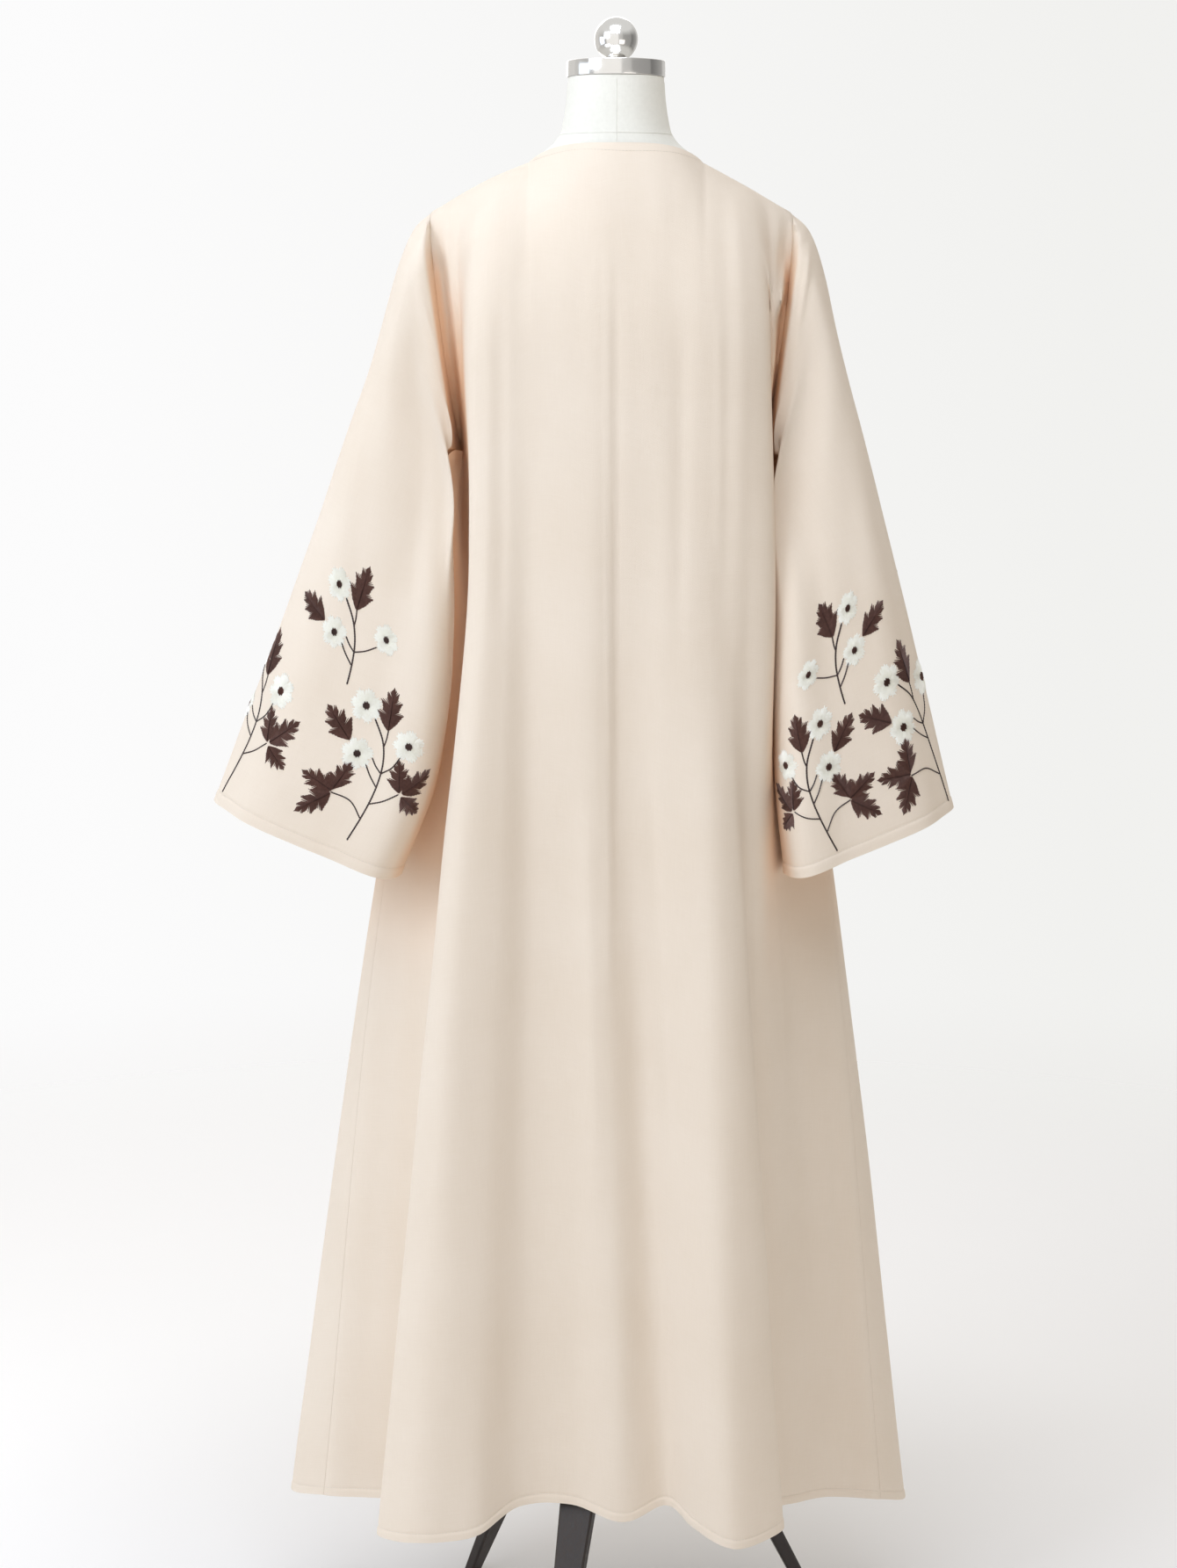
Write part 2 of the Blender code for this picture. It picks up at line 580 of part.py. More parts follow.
def cloth_walls(grids, closed_names):
    """{name: (outer grid, inner grid)}. Where panels meet they share one direction through the cloth, so
    that neither runs into the other, and each stops half the seam gap short of the seam."""
    out = {name: outward(points, name in closed_names) for name, points in grids.items()}
    body_at, sleeve_at, panels_at = defaultdict(Vector), defaultdict(Vector), defaultdict(set)
    for name, points in grids.items():
        directions_at = sleeve_at if name in closed_names else body_at
        for row, directions in zip(points, out[name]):
            for point, direction in zip(row, directions):
                directions_at[place_of(point)] += direction
                panels_at[place_of(point)].add(name)
    walls = {}
    for name, points in grids.items():
        closed = name in closed_names
        outer, inner = [], []
        for r, row in enumerate(points):
            outer_row, inner_row = [], []
            for c, point in enumerate(row):
                place = place_of(point)
                through = body_at[place].normalized() + sleeve_at[place].normalized()
                shoulder = not closed and on_shoulder(r, point)
                if shoulder:
                    through.y = 0
                through.normalize()
                depth = CLOTH / max(MITRE_LIMIT, through.dot(out[name][r][c]))
                edge = point.copy()
                if shoulder or len(panels_at[place]) > 1:
                    edge += away_from_edges(points, out[name], r, c, closed) * SEAM_GAP / 2
                outer_row.append(edge)
                inner_row.append(edge - through * depth)
            outer.append(outer_row)
            inner.append(inner_row)
        walls[name] = (outer, inner)
    return walls


def add_wall(name, outer, inner, closed, material, collection):
    """A closed solid between two grids. A closed one is a tube."""
    rows, columns = len(outer), len(outer[0])
    used = columns - 1 if closed else columns
    bm = bmesh.new()
    faces_out = [[bm.verts.new(point) for point in row[:used]] for row in outer]
    faces_in = [[bm.verts.new(point) for point in row[:used]] for row in inner]

    def quad(a, b, c, d):
        bm.faces.new((a, b, c, d))

    for r in range(rows - 1):
        for c in range(columns - 1):
            n = (c + 1) % used
            quad(faces_out[r][c], faces_out[r + 1][c], faces_out[r + 1][n], faces_out[r][n])
            quad(faces_in[r][c], faces_in[r][n], faces_in[r + 1][n], faces_in[r + 1][c])
    for c in range(columns - 1):
        n = (c + 1) % used
        quad(faces_out[0][c], faces_out[0][n], faces_in[0][n], faces_in[0][c])
        quad(faces_out[-1][n], faces_out[-1][c], faces_in[-1][c], faces_in[-1][n])
    if not closed:
        for r in range(rows - 1):
            quad(faces_out[r + 1][0], faces_out[r][0], faces_in[r][0], faces_in[r + 1][0])
            quad(faces_out[r][-1], faces_out[r + 1][-1], faces_in[r + 1][-1], faces_in[r][-1])
    add_object(name, bm, material, collection)


# ---------------------------------------------------------------- dress form
def section_ring(section):
    """The points round one section of the dress form, the first one again at the end."""
    ring = []
    for index in range(FORM_SIDES + 1):
        turn = 2 * math.pi * index / FORM_SIDES
        cosine, sine = math.cos(turn), math.sin(turn)
        power = 2 / FORM_ROUNDNESS
        reach = section.back_reach if sine > 0 else section.front_reach
        x = section.half_width * math.copysign(abs(cosine) ** power, cosine)
        y = reach * math.copysign(abs(sine) ** power, sine)
        ring.append(Vector((x, y, section.z)))
    return ring


def add_form(material, collection):
    """The torso and neck, closed below and above."""
    bm = placed_grid([section_ring(section) for section in FORM_SECTIONS], closed=True)
    bmesh.ops.holes_fill(bm, edges=[edge for edge in bm.edges if edge.is_boundary], sides=0)
    bmesh.ops.recalc_face_normals(bm, faces=bm.faces[:])
    return add_object("form_torso", bm, material, collection)


def add_turned(name, profile, sides, material, collection):
    """A solid of revolution about the Z axis from an outline of (radius, z), top to bottom."""
    bm = bmesh.new()
    verts = [bm.verts.new((radius, 0, z)) for radius, z in profile]
    for start, end in zip(verts, verts[1:]):
        bm.edges.new((start, end))
    turned = add_object(name, bm, material, collection)
    screw = turned.modifiers.new("turn", "SCREW")
    screw.steps = screw.render_steps = sides
    screw.use_merge_vertices = True
    screw.merge_threshold = 1e-5
    screw.use_smooth_shade = True
    return turned


def add_neck_cap(material, collection):
    low = NECK_TOP_Z + MATING_GAP
    high = low + CAP_HEIGHT
    profile = [
        (0, high),
        (CAP_RADIUS - CAP_EDGE, high),
        (CAP_RADIUS, high - CAP_EDGE),
        (CAP_RADIUS, low + CAP_EDGE),
        (CAP_RADIUS - CAP_EDGE, low),
        (0, low),
    ]
    add_turned("neck_cap", profile, CAP_SIDES, material, collection)
    return high


def add_knob(seat_z, material, collection):
    """The ball and the short collar that it stands on."""
    low = seat_z + MATING_GAP
    collar_top = low + COLLAR_HEIGHT
    sunk = math.asin(COLLAR_RADIUS / BALL_RADIUS)
    centre = collar_top + BALL_RADIUS * math.cos(sunk)
    profile = []
    for step in range(BALL_RINGS + 1):
        angle = (math.pi - sunk) * step / BALL_RINGS
        profile.append((BALL_RADIUS * math.sin(angle), centre + BALL_RADIUS * math.cos(angle)))
    profile += [(COLLAR_RADIUS, low), (0, low)]
    add_turned("knob", profile, BALL_SIDES, material, collection)


# ---------------------------------------------------------------- stand
def add_pole(material, collection):
    top = FORM_SECTIONS[0].z - MATING_GAP
    bottom = HUB_TOP_Z + MATING_GAP
    bm = bmesh.new()
    bmesh.ops.create_cone(
        bm,
        cap_ends=True,
        segments=POLE_SIDES,
        radius1=POLE_RADIUS,
        radius2=POLE_RADIUS,
        depth=top - bottom,
    )
    pole = add_object("pole", bm, material, collection)
    pole.location.z = (top + bottom) / 2


def leg_back_radius(z):
    """How far the back of a leg is from the pole's axis at height z."""
    return mix(LEG_FOOT_RADIUS, LEG_TOP_RADIUS, z / LEG_TOP_Z)


def add_hub(material, collection):
    """The block under the pole. Its cone leans as the legs do, which are fixed to it by their backs."""
    profile = [
        (0, HUB_TOP_Z),
        (HUB_NECK_RADIUS, HUB_TOP_Z),
        (HUB_RADIUS, HUB_TOP_Z - HUB_EDGE),
        (HUB_RADIUS, LEG_TOP_Z),
        (leg_back_radius(HUB_BOTTOM_Z + HUB_EDGE) - MATING_GAP, HUB_BOTTOM_Z + HUB_EDGE),
        (leg_back_radius(HUB_BOTTOM_Z + HUB_EDGE) - HUB_EDGE, HUB_BOTTOM_Z),
        (0, HUB_BOTTOM_Z),
    ]
    add_turned("hub", profile, HUB_SIDES, material, collection)


def add_leg(index, material, collection):
    """A tapered square leg: a cube whose top stands at the hub and whose bottom is the foot."""
    bm = bmesh.new()
    bmesh.ops.create_cube(bm, size=1.0)
    for vert in bm.verts:
        foot = vert.co.z < 0
        width = LEG_FOOT_WIDTH if foot else LEG_TOP_WIDTH
        depth = LEG_FOOT_DEPTH if foot else LEG_TOP_DEPTH
        z = 0 if foot else LEG_TOP_Z
        vert.co = Vector((vert.co.x * width, leg_back_radius(z) + (vert.co.y + 0.5) * depth, z))
    leg = add_object(f"leg_{index + 1}", bm, material, collection, smooth=False)
    leg.rotation_euler.z = LEG_TURN + 2 * math.pi * index / LEG_COUNT
    edges = leg.modifiers.new("edges", "BEVEL")
    edges.width = LEG_EDGE
    edges.segments = 1


def main():
    clear_scene()
    materials = make_materials()
    collection = make_collection("abaya_on_dress_form")
    grids = body_panels()
    sleeves = []
    for seam in (SEAM_LEFT, SEAM_RIGHT):
        sleeves.append("sleeve_" + side_of(seam.top_x))
        grids[sleeves[-1]] = sleeve_grid(seam)
    for name, (outer, inner) in cloth_walls(grids, sleeves).items():
        add_wall(name, outer, inner, name in sleeves, materials["cream_cloth"], collection)
    add_form(materials["form_cover"], collection)
    seat_z = add_neck_cap(materials["polished_steel"], collection)
    add_knob(seat_z, materials["polished_steel"], collection)
    add_pole(materials["pole_steel"], collection)
    add_hub(materials["dark_wood"], collection)
    for index in range(LEG_COUNT):
        add_leg(index, materials["dark_wood"], collection)
    for obj in collection.objects:
        obj.location -= Vector((MIDDLE_X, MIDDLE_Y, 0))


main()
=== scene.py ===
"""The looks of the abaya cloak on its dress form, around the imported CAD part.

Metres, +Z up, in the frame's own place. The cloak's front faces -Y and its plain back faces +Y, so +X is
the wearer's left. The tables measure x and y from the form's axis, as the part's source does, and every
point is moved by MIDDLE when its mesh is made.
"""

import math
from collections import defaultdict, namedtuple

import bpy
import numpy as np
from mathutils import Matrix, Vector, noise


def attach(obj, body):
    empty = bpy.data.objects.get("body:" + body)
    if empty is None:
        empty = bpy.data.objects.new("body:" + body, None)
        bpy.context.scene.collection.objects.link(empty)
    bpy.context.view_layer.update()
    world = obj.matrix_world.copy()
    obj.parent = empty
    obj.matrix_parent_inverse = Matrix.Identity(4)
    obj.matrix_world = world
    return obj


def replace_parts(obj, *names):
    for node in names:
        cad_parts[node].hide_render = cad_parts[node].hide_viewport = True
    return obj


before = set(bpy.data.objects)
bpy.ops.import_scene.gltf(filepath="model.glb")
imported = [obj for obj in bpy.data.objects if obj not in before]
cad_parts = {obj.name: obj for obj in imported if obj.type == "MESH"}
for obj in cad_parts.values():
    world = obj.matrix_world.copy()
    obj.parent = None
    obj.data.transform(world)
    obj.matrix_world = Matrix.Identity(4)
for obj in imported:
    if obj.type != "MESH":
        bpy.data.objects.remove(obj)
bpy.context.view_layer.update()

# ---------------------------------------------------------------- sizes, as in the part's source
MIDDLE = Vector((0.0320, 0.0195, 0))

CHEST_Z = 1.378
UNDERARM_Z = 1.278
WAIST_Z = 1.128
HIP_Z = 0.868

NECK_HALF_WIDTH = 0.086
NECK_POINT_Y = -0.005
NECK_POINT_Z = 1.562
BACK_NECK_RISE = 0.016
FRONT_NECK_DROP = 0.082
BACK_NECK_POWER = 4  # how flat the neckline is in the middle: 2 is a plain arc
FRONT_NECK_POWER = 2.5
BACK_RIDGE_RISE = 0.053
FRONT_RIDGE_DROP = 0.046
SHOULDER_TIP_Y = -0.008

Armhole = namedtuple("Armhole", "tip_x tip_z shoulder_bow swell back_reach front_reach")
ARMHOLES = {
    "left": Armhole(0.183, 1.5135, 0.0040, 0.003, 0.062, 0.044),
    "right": Armhole(-0.174, 1.5130, 0.0012, 0.003, 0.062, 0.044),
}

Column = namedtuple(
    "Column", "name top_x chest_x chest_y waist_x waist_y hip_x hip_y hem_x hem_y hem_z"
)
SEAM_LEFT = Column(
    "seam_left", 0.183, 0.146, -0.010, 0.177, -0.022, 0.233, -0.004, 0.309, 0.020, 0.176
)
SEAM_RIGHT = Column(
    "seam_right", -0.174, -0.139, -0.010, -0.170, -0.024, -0.217, -0.002, -0.284, 0.022, 0.172
)
BACK_COLUMNS = [
    Column("side_left", 0.172, 0.149, 0.045, 0.160, 0.006, 0.207, 0.020, 0.262, 0.036, 0.180),
    Column("recess_left", 0.157, 0.149, 0.066, 0.146, 0.042, 0.174, 0.046, 0.219, 0.052, 0.184),
    Column("fold_a_wall", 0.144, 0.147, 0.086, 0.139, 0.078, 0.160, 0.088, 0.216, 0.096, 0.184),
    Column("fold_a_edge", 0.131, 0.142, 0.102, 0.145, 0.107, 0.173, 0.120, 0.242, 0.134, 0.185),
    Column("fold_a_crest", 0.115, 0.127, 0.112, 0.131, 0.122, 0.155, 0.142, 0.208, 0.172, 0.193),
    Column("fold_a_slope", 0.100, 0.106, 0.114, 0.108, 0.121, 0.118, 0.138, 0.142, 0.168, 0.198),
    Column("valley_ab", 0.086, 0.086, 0.115, 0.085, 0.117, 0.086, 0.124, 0.098, 0.140, 0.217),
    Column("flat_b", 0.064, 0.055, 0.118, 0.054, 0.121, 0.052, 0.127, 0.045, 0.137, 0.218),
    Column("ridge_b", 0.030, 0.024, 0.120, 0.022, 0.124, 0.016, 0.133, -0.009, 0.152, 0.206),
    Column("valley_bc", -0.018, -0.012, 0.118, -0.013, 0.119, -0.018, 0.124, -0.054, 0.135, 0.216),
    Column("fold_c_rise", -0.060, -0.048, 0.118, -0.048, 0.122, -0.052, 0.132, -0.080, 0.156, 0.202),
    Column("fold_c_crest", -0.086, -0.084, 0.116, -0.082, 0.123, -0.091, 0.142, -0.120, 0.178, 0.189),
    Column("fold_c_edge", -0.104, -0.106, 0.111, -0.105, 0.116, -0.121, 0.130, -0.170, 0.140, 0.192),
    Column("valley_cd", -0.118, -0.124, 0.106, -0.124, 0.109, -0.131, 0.108, -0.168, 0.084, 0.190),
    Column("ridge_d", -0.133, -0.144, 0.090, -0.147, 0.092, -0.151, 0.090, -0.194, 0.052, 0.183),
    Column("recess_right", -0.147, -0.147, 0.066, -0.147, 0.046, -0.171, 0.044, -0.222, 0.032, 0.179),
    Column("side_right", -0.161, -0.142, 0.045, -0.151, 0.008, -0.195, 0.020, -0.250, 0.024, 0.175),
]
FRONT_COLUMNS = [
    Column("side_fold", 0.170, 0.153, -0.056, 0.192, -0.064, 0.244, -0.046, 0.348, -0.026, 0.164),
    Column("side_front", 0.150, 0.143, -0.084, 0.167, -0.098, 0.208, -0.100, 0.300, -0.112, 0.178),
    Column("valley_side", 0.122, 0.126, -0.106, 0.138, -0.124, 0.164, -0.126, 0.226, -0.134, 0.180),
    Column("bust_crest", 0.086, 0.094, -0.120, 0.104, -0.139, 0.124, -0.152, 0.164, -0.192, 0.176),
    Column("valley_front", 0.079, 0.064, -0.121, 0.070, -0.136, 0.080, -0.142, 0.106, -0.152, 0.180),
    Column("front_ridge", 0.045, 0.034, -0.122, 0.038, -0.140, 0.044, -0.150, 0.056, -0.178, 0.178),
    Column("centre_front", 0.0015, 0.0015, -0.121, 0.0015, -0.138, 0.002, -0.146, 0.003, -0.166, 0.179),
]
RIGHT_FRONT_SCALE = {"chest": 0.96, "waist": 0.94, "hip": 0.92, "hem": 0.905}
RIGHT_FRONT_DROP = 0.010

Ring = namedtuple(
    "Ring", "name outer_x outer_y outer_z inner_x inner_y inner_z half_depth twist_deg"
)
CAP_OUT_AT_TIP = 0.018
CAP_OUT_AT_UNDERARM = 0.013
CAP_BACK = 0.008
CAP_DROP_AT_TIP = 0.018
CAP_DROP_AT_UNDERARM = 0.006
SLEEVE_BACK_SQUARENESS = 3.0
SLEEVES = {
    "left": [
        Ring("upper_arm", 0.240, 0.016, 1.372, 0.166, 0.022, 1.210, 0.057, 28),
        Ring("elbow", 0.285, 0.026, 1.238, 0.161, 0.058, 1.120, 0.048, 32),
        Ring("forearm", 0.326, 0.030, 1.126, 0.166, 0.068, 1.030, 0.048, 22),
        Ring("wrist", 0.367, 0.030, 1.024, 0.183, 0.074, 0.940, 0.050, 10),
        Ring("cuff", 0.402, 0.030, 0.933, 0.217, 0.070, 0.860, 0.054, 0),
    ],
    "right": [
        Ring("upper_arm", -0.224, 0.016, 1.372, -0.159, 0.022, 1.210, 0.055, 28),
        Ring("elbow", -0.256, 0.026, 1.238, -0.156, 0.060, 1.120, 0.046, 32),
        Ring("forearm", -0.288, 0.030, 1.122, -0.157, 0.070, 1.030, 0.046, 22),
        Ring("wrist", -0.314, 0.030, 1.020, -0.161, 0.078, 0.940, 0.047, 10),
        Ring("cuff", -0.338, 0.030, 0.926, -0.170, 0.074, 0.861, 0.050, 0),
    ],
}
SleeveFold = namedtuple("SleeveFold", "name turn_deg width_deg depth_at_elbow depth_at_cuff")
SLEEVE_FOLDS = [
    SleeveFold("back_valley", 104, 20, -0.007, -0.006),
    SleeveFold("inner_ridge", 138, 20, 0.004, 0.004),
    SleeveFold("outer_valley", 42, 20, -0.003, -0.006),
    SleeveFold("front_valley", 250, 26, -0.006, -0.009),
    SleeveFold("front_ridge", 292, 24, 0.003, 0.007),
]

Section = namedtuple("Section", "name z half_width front_reach back_reach")
FORM_ROUNDNESS = 2.15
FORM_SECTIONS = [
    Section("underside", 0.838, 0.158, 0.092, 0.098),
    Section("seat", 0.878, 0.165, 0.097, 0.106),
    Section("hip", 0.928, 0.166, 0.100, 0.110),
    Section("high_hip", 0.998, 0.153, 0.098, 0.104),
    Section("tummy", 1.063, 0.134, 0.092, 0.093),
    Section("waist", 1.128, 0.120, 0.088, 0.084),
    Section("ribs", 1.188, 0.126, 0.098, 0.089),
    Section("under_bust", 1.243, 0.135, 0.111, 0.096),
    Section("bust", 1.290, 0.138, 0.112, 0.098),
    Section("chest", 1.333, 0.140, 0.108, 0.099),
    Section("blades", 1.378, 0.145, 0.097, 0.099),
    Section("armhole", 1.418, 0.154, 0.086, 0.095),
    Section("shoulder_end", 1.458, 0.164, 0.076, 0.086),
    Section("shoulder_round", 1.480, 0.163, 0.069, 0.079),
    Section("shoulder_low", 1.498, 0.153, 0.064, 0.074),
    Section("shoulder_mid", 1.516, 0.134, 0.057, 0.069),
    Section("shoulder_high", 1.535, 0.108, 0.052, 0.065),
    Section("neck_slope", 1.555, 0.084, 0.050, 0.0605),
    Section("neck_root", 1.568, 0.076, 0.050, 0.0575),
    Section("neck_base", 1.578, 0.0635, 0.0500, 0.0550),
    Section("neck_seam", 1.588, 0.0555, 0.0500, 0.0520),
    Section("neck_low", 1.602, 0.0515, 0.0495, 0.0495),
    Section("neck_mid", 1.622, 0.0485, 0.0480, 0.0480),
    Section("neck_top", 1.643, 0.0470, 0.0470, 0.0470),
]
NECK_TOP_Z = 1.643
NECK_SEAM_Z = 1.588

MATING_GAP = 0.0004
CAP_RADIUS = 0.0485
CAP_HEIGHT = 0.0155
COLLAR_RADIUS = 0.0115
COLLAR_HEIGHT = 0.0025
BALL_RADIUS = 0.0215

# ---------------------------------------------------------------- sizes of the finer cloth
CLOTH = 0.0010
SEAM_GAP = 0.0003
MITRE_LIMIT = 0.45
ARMHOLE_ROWS = 48
ARMHOLE_SHARES = [i / ARMHOLE_ROWS for i in (*range(45), 46, 48)]  # of the panels, fewer at the underarm
SKIRT_ROWS = 60
STEPS_PER_SPAN = 9
SLEEVE_STEPS_PER_RING = 11
HEM_BAND = 0.0090
CUFF_BAND = 0.0115
NECK_STITCH = 0.0100  # the neckline's line of stitches is this far below its edge
NECK_STITCH_END = 0.004  # it ends this far from the shoulder seam
NECK_STITCH_ROWS = 20  # and lies within these rows of the cloth

# ---------------------------------------------------------------- camera
CAMERA_PLACE = Vector((-0.005, 2.7805, 1.42))
CAMERA_DIP_DEG = 9.73
CAMERA_LENS = 63.66


def linked(name, data):
    """A new object with this data, in the scene."""
    obj = bpy.data.objects.new(name, data)
    bpy.context.scene.collection.objects.link(obj)
    return obj


def add_camera():
    data = bpy.data.cameras.new("camera")
    data.sensor_fit = "VERTICAL"
    data.sensor_height = 36
    data.lens = CAMERA_LENS
    camera = linked("camera", data)
    camera.location = CAMERA_PLACE
    camera.rotation_euler = (math.radians(90 - CAMERA_DIP_DEG), 0, math.pi)
    bpy.context.scene.camera = camera


# ---------------------------------------------------------------- materials
class Nodes:
    """A short way to add linked nodes to a node tree."""

    def __init__(self, tree):
        self.tree = tree

    def feed(self, socket, value):
        """Sets a socket to a number or a colour, or links another node's socket to it."""
        if isinstance(value, bpy.types.NodeSocket):
            self.tree.links.new(value, socket)
        else:
            socket.default_value = value

    def node(self, kind, settings=None, **inputs):
        """The outputs of a new node with these settings. Its inputs are named as its sockets, with _ for a
        space, or as n and the socket's number."""
        node = self.tree.nodes.new("ShaderNode" + kind)
        for key, value in (settings or {}).items():
            setattr(node, key, value)
        for key, value in inputs.items():
            socket = node.inputs[int(key[1:]) if key[1:].isdigit() else key.replace("_", " ")]
            self.feed(socket, value)
        return node.outputs

    def math(self, operation, a, b=0.0):
        return self.node("Math", {"operation": operation}, n0=a, n1=b)["Value"]

    def sum_of(self, *terms):
        """The sum of (value, weight) terms."""
        parts = [self.math("MULTIPLY", value, weight) for value, weight in terms]
        total = parts[0]
        for part in parts[1:]:
            total = self.math("ADD", total, part)
        return total

    def noise(self, where, scale, detail=2.0, roughness=0.5):
        inputs = {"Vector": where, "Scale": scale, "Detail": detail, "Roughness": roughness}
        return self.node("TexNoise", None, **inputs)["Fac"]

    def grain(self, where, stretch, detail=2.0, roughness=0.5):
        """Noise with this many grains to the metre along each axis."""
        stretched = self.node("Mapping", {"vector_type": "POINT"}, Vector=where, Scale=stretch)["Vector"]
        return self.noise(stretched, 1.0, detail, roughness)

    def between(self, value, low, high, to_low=0.0, to_high=1.0, kind="LINEAR"):
        ends = {"n1": low, "n2": high, "n3": to_low, "n4": to_high}
        return self.node("MapRange", {"interpolation_type": kind}, Value=value, **ends)["Result"]

    def eased(self, *ends):
        return self.between(*ends, kind="SMOOTHSTEP")

    def blend(self, share, a, b):
        return self.node("Mix", {"data_type": "RGBA"}, n0=share, n6=a, n7=b)[2]

    def tint(self, share, dark, light):
        return self.blend(share, (*dark, 1.0), (*light, 1.0))

    def bump(self, height, distance, strength):
        return self.node("Bump", None, Height=height, Distance=distance, Strength=strength)["Normal"]


class Shader(Nodes):
    """One procedural material. place is the point on the object, in metres."""

    def __init__(self, name, colour, roughness, metallic=0.0):
        self.material = bpy.data.materials.new(name)
        self.material.use_nodes = True
        super().__init__(self.material.node_tree)
        self.surface = self.tree.nodes["Principled BSDF"]
        self.place = self.node("TexCoord")["Object"]
        self.dress(Base_Color=(*colour, 1.0), Roughness=roughness, Metallic=metallic)

    def dress(self, **inputs):
        """Feeds the surface's sockets, named with _ for a space, and returns the material."""
        for key, value in inputs.items():
            self.feed(self.surface.inputs[key.replace("_", " ")], value)
        return self.material


# Painted shade: between the sleeves and the back, the cloth's colour is darkened and warmed by these shares,
# standing in for shade and the light bounced between two cloths.
PAINTED_SHADE_TINT = (0.97, 0.74, 0.57)  # light that goes to and fro between two cloths takes up their colour
SLUB_DOWN = (900, 40, 1)  # grains to the metre across and along the thread
SLUB_ACROSS = (40, 900, 1)


def cloth_material(name, colour, light, dark, yarn, bump_depth, sheen):
    """A plain weave in the cloth's own measure: threads a yarn apart, thick and thin, random tone, and
    painted shade.
    """
    shader = Shader(name, colour, 0.86)
    flat = shader.node("UVMap", {"uv_map": "cloth"})["UV"]
    across = shader.node("SeparateXYZ", None, Vector=flat)
    turns = math.pi / yarn
    warp = shader.math("SINE", shader.math("MULTIPLY", across["X"], turns))
    weft = shader.math("SINE", shader.math("MULTIPLY", across["Y"], turns))
    weave = shader.math("MULTIPLY", warp, weft)
    slub = shader.math("ADD", shader.grain(flat, SLUB_DOWN), shader.grain(flat, SLUB_ACROSS))
    fibre = shader.math("ADD", weave, shader.math("MULTIPLY", slub, 1.4))
    cloud = shader.noise(shader.place, 7.0, 3.0)
    tone = shader.between(shader.sum_of((cloud, 0.55), (slub, 0.22)), 0.30, 0.70)
    # Painted shade: where the painted_shade attribute is set, the base colour turns to this darker, warmer
    # colour.
    painted_shade_colour = tuple(value * share for value, share in zip(colour, PAINTED_SHADE_TINT))
    painted_shade = shader.node("Attribute", {"attribute_name": "painted_shade"})["Fac"]
    return shader.dress(
        Base_Color=shader.blend(painted_shade, shader.tint(tone, dark, light), (*painted_shade_colour, 1.0)),
        Normal=shader.bump(fibre, bump_depth, 0.6),
        Roughness=shader.between(slub, 0.7, 1.3, 0.78, 0.92),
        Sheen_Weight=sheen,
        Sheen_Roughness=0.4,
        Specular_IOR_Level=0.25,
    )


def thread_material(name, light, dark, roughness, sheen):
    """Satin thread: each stitch a little lighter or darker, with the thread's soft gloss."""
    shader = Shader(name, light, roughness)
    fine = shader.noise(shader.place, 420.0)
    patch = shader.noise(shader.place, 40.0)
    tone = shader.between(shader.sum_of((fine, 0.6), (patch, 0.4)), 0.32, 0.68)
    return shader.dress(
        Base_Color=shader.tint(tone, dark, light),
        Normal=shader.bump(fine, 0.0002, 0.5),
        Sheen_Weight=sheen,
        Sheen_Roughness=0.35,
    )


def cover_material(name, light, dark):
    """The form's cover: fine unbleached cotton, faintly ribbed, with small flecks."""
    shader = Shader(name, light, 0.9)
    rib = shader.grain(shader.place, (700, 700, 90))
    cloud = shader.noise(shader.place, 9.0, 3.0)
    fleck = shader.noise(shader.place, 260.0, 3.0)
    tone = shader.between(shader.sum_of((cloud, 0.6), (fleck, 0.4)), 0.35, 0.65)
    return shader.dress(
        Base_Color=shader.tint(tone, dark, light),
        Normal=shader.bump(rib, 0.0003, 0.5),
        Sheen_Weight=0.15,
    )


def steel_material(name, colour, roughness, stretch, depth):
    """Steel whose gloss varies by fine marks: wiping, or brushing along its length."""
    shader = Shader(name, colour, roughness[0], 1.0)
    marks = shader.grain(shader.place, stretch, 3.0)
    darker = tuple(value * 0.93 for value in colour)
    return shader.dress(
        Base_Color=shader.tint(shader.noise(shader.place, 25.0), darker, colour),
        Normal=shader.bump(marks, depth, 0.4),
        Roughness=shader.between(marks, 0.3, 0.7, *roughness),
    )


def wood_material(name, light, dark):
    """Dark stained wood under satin varnish, its grain along the leg."""
    shader = Shader(name, dark, 0.35)
    warp = shader.grain(shader.place, (30, 30, 3), 4.0)
    grain = shader.grain(shader.place, (420, 420, 9), 5.0, 0.6)
    tone = shader.between(shader.sum_of((grain, 0.7), (warp, 0.3)), 0.35, 0.65)
    return shader.dress(
        Base_Color=shader.tint(tone, dark, light),
        Normal=shader.bump(grain, 0.0002, 0.5),
        Roughness=shader.between(grain, 0.3, 0.7, 0.45, 0.62),
        Coat_Weight=0.06,
        Coat_Roughness=0.3,
    )


FLOOR_FADE = (1.2, 3.1)  # the floor fades into the air between these distances from the cloak
# Painted shadow: the floor's glow is dimmed near the cloak, where its shadow falls.
FLOOR_PAINTED_SHADOW = (0.1, 1.1)  # and its own glow comes up between these, from this share of it
FLOOR_PAINTED_SHADOW_SHARE = 0.12
# Painted light: the floor glows a little more on the wearer's left, where the key lamp stands.
FLOOR_PAINTED_GLOW = (0.175, 0.215)  # at these places across, on the wearer's right and left
FLOOR_PAINTED_GLOW_ENDS = (-1.2, 0.9)


